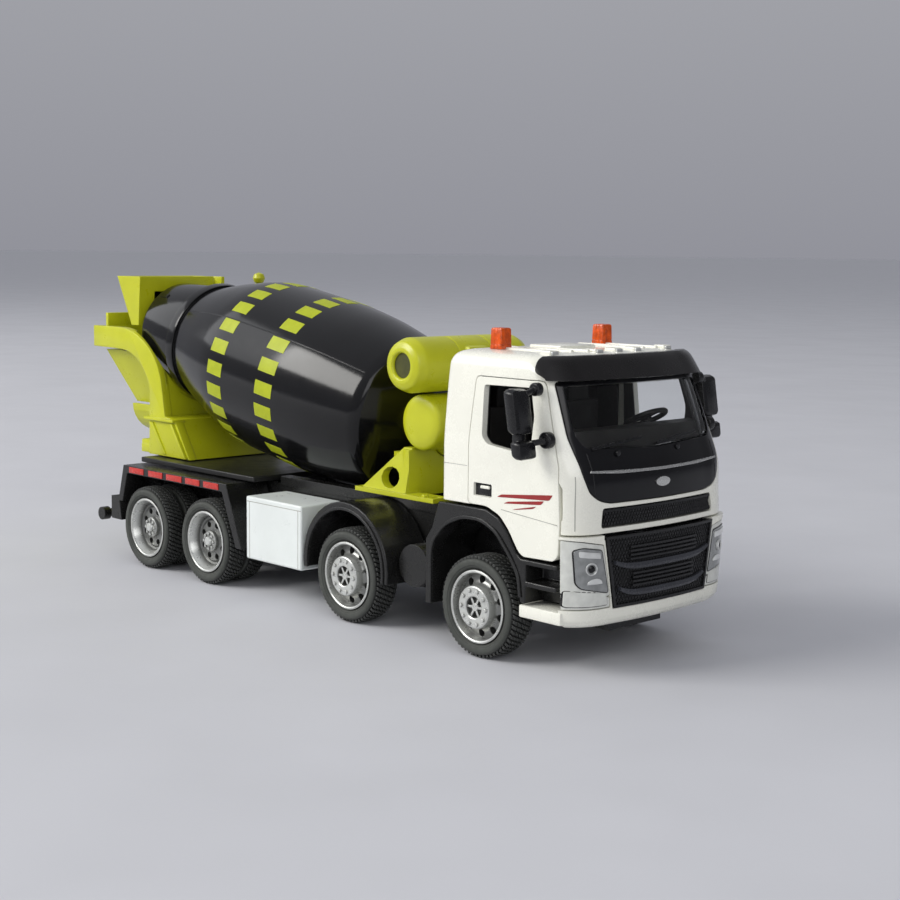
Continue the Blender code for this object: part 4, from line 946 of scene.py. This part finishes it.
def make_wheels():
    """Shared tyre, tread and rim meshes, placed on every axle and turned round for the left side."""
    single, single_tread = tyre_shape(7.0, 5)
    outer, outer_tread = tyre_shape(5.75, 4)
    inner, inner_tread = tyre_shape(5.75, 4)
    for shape in (inner, inner_tread):
        bmesh.ops.translate(shape, vec=(0, -6.35, 0), verts=shape.verts)
    shapes = {
        ("tyre", False): single,
        ("tread", False): single_tread,
        ("tyre", True): merged([outer, inner]),
        ("tread", True): merged([outer_tread, inner_tread]),
        ("rim", False): rim_shape(False),
        ("rim", True): rim_shape(True),
    }
    meshes = {}
    for key, shape in shapes.items():
        bmesh.ops.scale(shape, vec=(MM, MM, MM), verts=shape.verts)
        meshes[key] = bpy.data.meshes.new(key[0])
        shape.to_mesh(meshes[key])
        shape.free()
    looks = {"tyre": ("tyre_rubber", None), "tread": ("tyre_rubber", TREAD), "rim": ("rim_silver", None)}
    for number, x in enumerate(AXLES, start=1):
        for side_name, side in SIDES.items():
            turn = Matrix.Identity(4) if side > 0 else Matrix.Rotation(math.pi, 4, "Z")
            spot = Vector((x + FRONT_AXLE_X, side * TYRE_FACE_Y, AXLE_HEIGHT)) * MM
            for part, (slot, material) in looks.items():
                name = f"{part}_{number}_{side_name}"
                obj = bpy.data.objects.new(name + "_detailed", meshes[part, number > 2])
                bpy.context.scene.collection.objects.link(obj)
                obj.matrix_world = Matrix.Translation(spot) @ turn
                dressed(obj, slot, f"wheelset_{number}", material, [] if part == "tread" else [name])


# ---- drum and superstructure


DRUM_OUTER = [(6.0, 2.9, 0.4), (12.5, 4.4, 2.0), (17.0, 6.3, 0.8), (17.9, 8.0, 1.2), (19.2, 14.0, 3.0),
              (20.5, 22.0, 4.0), (21.4, 33.0, 6.0), (21.4, 59.0, 7.0), (18.5, 71.0, 4.0), (15.1, 82.5, 0.3)]


def drum_curve():
    """The drum's outside as a smooth list of (radius, distance along the axis)."""
    points = [(0.0, 2.9)] + [(r, s) for r, s, _ in DRUM_OUTER]
    radii = [0.0] + [soft for _, _, soft in DRUM_OUTER]
    result = [points[0]]
    for i in range(1, len(points) - 1):
        part = filleted([points[i - 1], points[i], points[i + 1]], radii[i], 8, closed=False)
        result += part[1:-1]
    return result + [points[-1]]


def radius_at(curve, s):
    for (r0, s0), (r1, s1) in zip(curve, curve[1:]):
        if s0 <= s <= s1 and s1 > s0:
            return r0 + (r1 - r0) * (s - s0) / (s1 - s0)
    return curve[-1][0]


def drum_spot(s, angle, radius):
    """A point on the drum; the angle runs from the top towards the truck's right."""
    out = DRUM_UP * math.cos(angle) + Vector((0, -1, 0)) * math.sin(angle)
    return DRUM_BASE + DRUM_AXIS * s + out * radius


def border(grid):
    """The outermost vertices of a grid, in order round it."""
    first = [row[0] for row in grid]
    last = [row[-1] for row in reversed(grid[:-1])]
    return first + grid[-1][1:] + last + grid[0][-2:0:-1]


def drum_patch(curve, low, high, start, end, proud, across_steps=3, along_steps=4):
    """A thin plate that lies on the drum between two distances and two angles."""
    bm = bmesh.new()
    layers = []
    for lift in (proud, -0.1):
        grid = []
        for i in range(along_steps + 1):
            s = low + (high - low) * i / along_steps
            radius = radius_at(curve, s) + lift
            angles = [start + (end - start) * j / across_steps for j in range(across_steps + 1)]
            grid.append([bm.verts.new(drum_spot(s, angle, radius)) for angle in angles])
        layers.append(grid)
    for grid in layers:
        for a, b in zip(grid, grid[1:]):
            for j in range(across_steps):
                bm.faces.new((a[j], b[j], b[j + 1], a[j + 1]))
    bridge(bm, border(layers[0]), border(layers[1]))
    return facing_out(bm)


def make_drum():
    curve = drum_curve()
    ring = filleted([(15.1, 82.5), (15.7, 82.5), (15.7, 85.5), (13.6, 85.5)], 0.3, 3, closed=False)
    inside = [(13.6, 82.0), (17.0, 71.0), (20.0, 59.0), (20.0, 33.0), (16.3, 8.8), (11.0, 6.2), (0, 4.6)]
    shell = turned(curve[:-1] + ring + inside, DRUM_BASE, DRUM_AXIS, 96)
    ridges = []
    for angle in (math.radians(52.8), math.radians(232.8)):
        ridges.append(drum_patch(curve, 8.5, 82.2, angle - 0.0035, angle + 0.0035, 0.07, 1, 60))
    place("drum_shell_gloss", merged([shell] + ridges), "drum_black", "drum", replaces=["drum_shell"],
          sharp=math.radians(28))
    squares = []
    half = math.radians(4.45)
    for low, high, phase in ((52.6, 58.7, 12.6), (32.6, 38.9, 13.4)):
        for k in range(24):
            middle = math.radians(phase + 15 * k)
            squares.append(drum_patch(curve, low, high, middle - half, middle + half, 0.05))
    place("drum_squares", merged(squares), "lime", "drum", PRINT_LIME)
    collar = [(14.6, 85.8), (12.5, 101.5), (12.2, 102.0), (11.2, 102.0), (12.2, 86.5), (12.2, 83.2),
              (13.2, 83.2), (13.2, 85.8)]
    shapes = [turned(filleted(collar, 0.25, 3), DRUM_BASE, DRUM_AXIS, 96)]
    tab_curve = [(14.6, 85.8), (12.5, 101.5)]
    shapes.append(drum_patch(tab_curve, 96.5, 101.0, math.radians(38), math.radians(43), 0.25))
    shapes.append(drum_patch(tab_curve, 96.5, 101.0, math.radians(218), math.radians(223), 0.25))
    place("drum_collar_gloss", merged(shapes), "drum_black", "drum", replaces=["drum_collar"])
    restyled("drum_shaft", "axle_steel")


def make_rear_frame():
    """Two bent arms on flared legs with a folded web between them, which follows the arms."""
    foot = 27.6
    outer = arc((-147.8, 44.0), (20.6, 16.4), 90, 8, 16)
    inner = arc((-147.0, 42.0), (14.3, 12.6), 10, 90, 16)
    arm = [(-160.3, 60.4)] + outer + [(-125.9, 38.0), (-121.3, 37.4), (-114.8, foot), (-133.4, foot),
                                      (-133.2, 37.4)] + inner + [(-160.3, 54.8)]
    front = outer[6:] + [(-126.2, 38.0), (-121.5, 37.4), (-115.0, foot)]
    back = [(x - 1.5, z) for x, z in reversed(front)]
    shapes = [
        block((-160.3, -158.8), (-14.5, 14.5), (57.0, 60.2), 0.2),
        block((-160.2, -158.9), (-11.2, 11.2), (59.0, 63.8), 0.2),
        prism("Y", front + back, -13.4, 13.4),
        block((-139.0, -118.0), (-13.8, 13.8), (foot, 29.8), 0.2),
    ]
    for side in SIDES.values():
        shapes.append(prism("Y", arm, *on_side(side, 12.6, 15.0), 0.2))
        shapes.append(block((-134.6, -121.0), on_side(side, 12.0, 15.9), (36.7, 37.5), 0.2))
        shapes.append(block((-138.9, -133.0), on_side(side, 9.5, 13.7), (28.0, 31.0), 0.2))
    clear = [(0, 30), (22.0, 30), (22.0, 60), (17.0, 81.9), (16.3, 81.9), (16.3, 86.1), (15.5, 86.1),
             (13.6, 103), (0, 103)]
    pieces = [carved(shape, [turned(clear, DRUM_BASE, DRUM_AXIS, 96)]) for shape in shapes]
    place("rear_frame_shaped", merged(pieces), "lime", replaces=["rear_frame"])


def make_mixer_parts():
    x, z = -31.0, 57.0
    half = [(0, -9.0), (2.7, -9.0), (2.75, -17.2), (3.1, -17.6), (3.8, -17.6), (5.2, -17.0), (6.05, -15.0),
            (6.05, -5.2), (5.9, -5.1), (5.9, -4.9), (6.05, -4.8)]
    profile = half + [(r, -d) for r, d in reversed(half)]
    tank = turned(filleted(profile, 0.45, 4, closed=False), (x, 0, z), (0, 1, 0), 64)
    bulge = block((x + 3.6, x + 6.4), (-3.2, 3.2), (z - 1.5, z + 4.0), 0.8)
    place("water_tank_moulded", merged([tank, bulge]), "lime", replaces=["water_tank"])
    # Dark discs inside the tank-end holes: painted shade standing in for the holes' depth.
    hole_shades = [rod((x, side * 16.4, z), (x, side * 16.8, z), 2.74, 40) for side in SIDES.values()]
    place("water_tank_hole_shades", merged(hole_shades), "lime", "truck", TANK_HOLE_SHADE)
    half = [(0, -12.0), (4.4, -12.0), (6.15, -11.4), (6.15, -0.2), (6.0, -0.1), (6.0, 0.0)]
    profile = half + [(r, -d) for r, d in reversed(half[:-1])]
    body = turned(filleted(profile, 1.1, 6, closed=False), (GEARBOX_X, 0, GEARBOX_Z), (0, 1, 0), 64)
    room = rod((x, -30, z), (x, 30, z), 6.35, 64)
    bore = [(2.8, -5.5), (2.8, 2.1), (4.6, 2.1), (5.4, 0.8), (5.4, -8.0), (0, -8.0), (0, -5.5)]
    boss = turned(filleted(bore, 0.3, 3, closed=False), DRUM_BASE, DRUM_AXIS, 64)
    neck = [(-36.5, 46.0), (-27.5, 46.0), (-27.0, 52.5), (-35.5, 52.5)]
    neck = carved(prism("Y", filleted(neck, 0.6), -10.5, 10.5, 0.5), [room])
    place("gearbox_moulded", merged([body, boss, neck]), "lime", replaces=["gearbox_housing"])
    for name in ("front_pedestal", "hopper", "discharge_funnel", "ladder"):
        moulded(name, "lime")
    make_rear_frame()
    moulded("swivel_chute", "lime", "chute")
    ribs = []
    for side in SIDES.values():
        ribs.append(prism("Y", [(-133.0, 36.2), (-131.2, 36.2), (-125.2, 28.2), (-126.6, 28.2)],
                          *on_side(side, 14.8, 15.4), 0.15))
        ribs.append(prism("Y", [(-122.4, 36.4), (-121.5, 36.4), (-115.4, 28.0), (-116.6, 28.0)],
                          *on_side(side, 14.8, 15.9), 0.15))
        ribs.append(rod((-27.6, side * 13.2, 28.3), (-27.6, side * 13.2, 29.0), 0.8, 6, 0.15))
    ribs.append(block((-141.9, -141.3), (-9.5, 9.5), (70.8, 73.6), 0.2))
    place("lime_ribs", merged(ribs), "lime")


def ribbon(path, width, side, outer):
    """A raised rim of constant width on the upper side of a path in the X-Z plane."""
    rings = []
    for i, here in enumerate(path):
        before, after = Vector(path[max(i - 1, 0)]), Vector(path[min(i + 1, len(path) - 1)])
        along = (after - before).normalized()
        out = Vector((-along.y, along.x))
        near, far = Vector(here), Vector(here) + out * width
        corners = [(near, 24.5), (near, outer - 0.12), (near + out * 0.12, outer), (far - out * 0.12, outer),
                   (far, outer - 0.12), (far, 24.5)]
        rings.append([(p.x, side * y, p.y) for p, y in corners])
    return loft(rings)


def make_chassis():
    for name in ("chassis_frame", "base_plate", "underrun_bar", "front_fender_right", "front_fender_left",
                 "second_fender_right", "second_fender_left", "rear_fender_right", "rear_fender_left"):
        moulded(name, "chassis_black")
    moulded("rear_deck", "chassis_black", material=DECK)
    front_edge = [(-13.0, 9.2), (-13.0, 20.0), (-12.3, 22.5), (-9.0, 26.1), (-4.1, 28.1), (1.1, 28.2),
                  (5.3, 26.4), (9.0, 22.3), (11.4, 18.9), (12.0, 14.6)]
    second_edge = arc((-41.4, 12.4), (12.6, 12.6), 188, -8, 28)
    for side_name, side in SIDES.items():
        beads = [ribbon(filleted(front_edge, 1.6, 4, closed=False), 0.75, side, 24.95),
                 ribbon(second_edge, 0.75, side, 24.95)]
        place(f"fender_beads_{side_name}", merged(beads), "chassis_black")
    for side_name, side in SIDES.items():
        moulded(f"toolbox_{side_name}", "box_white", edge=0.4)
        seams = [
            block((-77.0, -56.6), on_side(side, 24.6, 24.78), (22.75, 22.9)),
            block((-75.9, -75.75), on_side(side, 24.6, 24.78), (9.4, 22.8)),
            block((-57.6, -57.45), on_side(side, 24.6, 24.78), (9.4, 22.8)),
        ]
        place(f"toolbox_{side_name}_seams", merged(seams), "box_white", "truck", SEAM)
        lights = []
        for low, high in ((-127.8, -121.2), (-118.9, -112.6), (-110.8, -104.1), (-102.4, -96.4),
                          (-94.7, -88.5)):
            lights.append(block((low, high), on_side(side, 24.4, 24.8), (23.95, 25.45), 0.12))
        place(f"reflectors_{side_name}", merged(lights), "beacon_orange", "truck", REFLECTOR)
    for number in range(1, len(AXLES) + 1):
        restyled(f"axle_{number}", "axle_steel")


# ---- stage


SKY_HORIZON = (0.288, 0.291, 0.327, 1.0)
SKY_LOW = (0.37, 0.375, 0.405, 1.0)
SKY_HIGH = (0.55, 0.56, 0.60, 1.0)
SKY_CORNER = (0.05, 0.05, 0.055, 1.0)
DIM_CORNER = (0.6, 0.6, 0.53)


def make_stage():
    bm = bmesh.new()
    reach = 40.0
    bm.faces.new([bm.verts.new((x * reach, y * reach, 0)) for x, y in ((-1, -1), (1, -1), (1, 1), (-1, 1))])
    floor = mesh_object("floor", bm)
    paper = finish("floor_paper", (0.605, 0.61, 0.64), 0.7, spread=0.02, blotch=60.0, grain=0.8, bump=0.05,
                   wear_and_sheen=0.0)
    floor.data.materials.append(paper)


def area_light(name, spot, target, size, power, colour=(1, 1, 1)):
    light = bpy.data.lights.new(name, "AREA")
    light.shape = "RECTANGLE"
    light.size, light.size_y = size
    light.energy = power
    light.color = colour
    obj = bpy.data.objects.new(name, light)
    bpy.context.scene.collection.objects.link(obj)
    obj.location = spot
    obj.rotation_euler = (Vector(target) - Vector(spot)).to_track_quat("-Z", "Y").to_euler()
    return obj


def towards(azimuth, elevation, distance):
    a, e = math.radians(azimuth), math.radians(elevation)
    return Vector((math.cos(a) * math.cos(e), math.sin(a) * math.cos(e), math.sin(e))) * distance


def make_lights():
    target = Vector((0.0, 0.0, 0.03))
    area_light("window", target + towards(-120, 33, 1.8), target, (0.95, 0.75), 21, (1.0, 0.985, 0.95))
    area_light("room_left", target + towards(-152, 28, 1.9), target, (1.1, 1.0), 5, (0.97, 0.98, 1.0))
    area_light("room_front", target + towards(-32, 24, 2.0), target, (1.3, 1.1), 9, (0.99, 0.99, 1.0))
    world = bpy.data.worlds.new("room")
    world.use_nodes = True
    bpy.context.scene.world = world
    tree = world.node_tree
    ray = node(tree, "ShaderNodeTexCoord").outputs["Generated"]
    height = node(tree, "ShaderNodeSeparateXYZ", Vector=ray).outputs["Z"]
    low = mixed(tree, ranged(tree, height, 0.0, 0.2, 0.0, 1.0), SKY_HORIZON, SKY_LOW)
    shade = mixed(tree, ranged(tree, height, 0.25, 0.9, 0.0, 1.0), low, SKY_HIGH)
    dim = ranged(tree, dot(tree, ray, DIM_CORNER), 0.5, 0.95, 0.0, 0.6)
    shade = mixed(tree, dim, shade, SKY_CORNER)
    background = tree.nodes["Background"]
    tree.links.new(shade, background.inputs["Color"])
    background.inputs["Strength"].default_value = 1.0


def make_camera():
    azimuth, elevation, roll = (math.radians(a) for a in (46.382, 7.135, 0.630))
    forward = Vector((-math.sin(azimuth) * math.cos(elevation), math.cos(azimuth) * math.cos(elevation),
                      -math.sin(elevation)))
    right = forward.cross(Vector((0, 0, 1))).normalized()
    up = right.cross(forward)
    right, up = (right * math.cos(roll) + up * math.sin(roll), up * math.cos(roll) - right * math.sin(roll))
    camera = bpy.data.cameras.new("camera")
    camera.sensor_width = 36.0
    camera.lens = 63.28
    camera.clip_start = 0.01
    obj = bpy.data.objects.new("camera", camera)
    bpy.context.scene.collection.objects.link(obj)
    spot = Vector((222.107 + FRONT_AXLE_X, -243.829, 81.380)) * MM
    obj.matrix_world = Matrix.Translation(spot) @ Matrix((right, up, -forward)).transposed().to_4x4()
    bpy.context.scene.camera = obj


make_cab()
make_front()
make_visor()
make_beacons()
make_interior()
make_mirrors()
make_wheels()
make_drum()
make_mixer_parts()
make_chassis()
make_stage()
make_lights()
make_camera()
bpy.context.scene.view_settings.view_transform = "Standard"
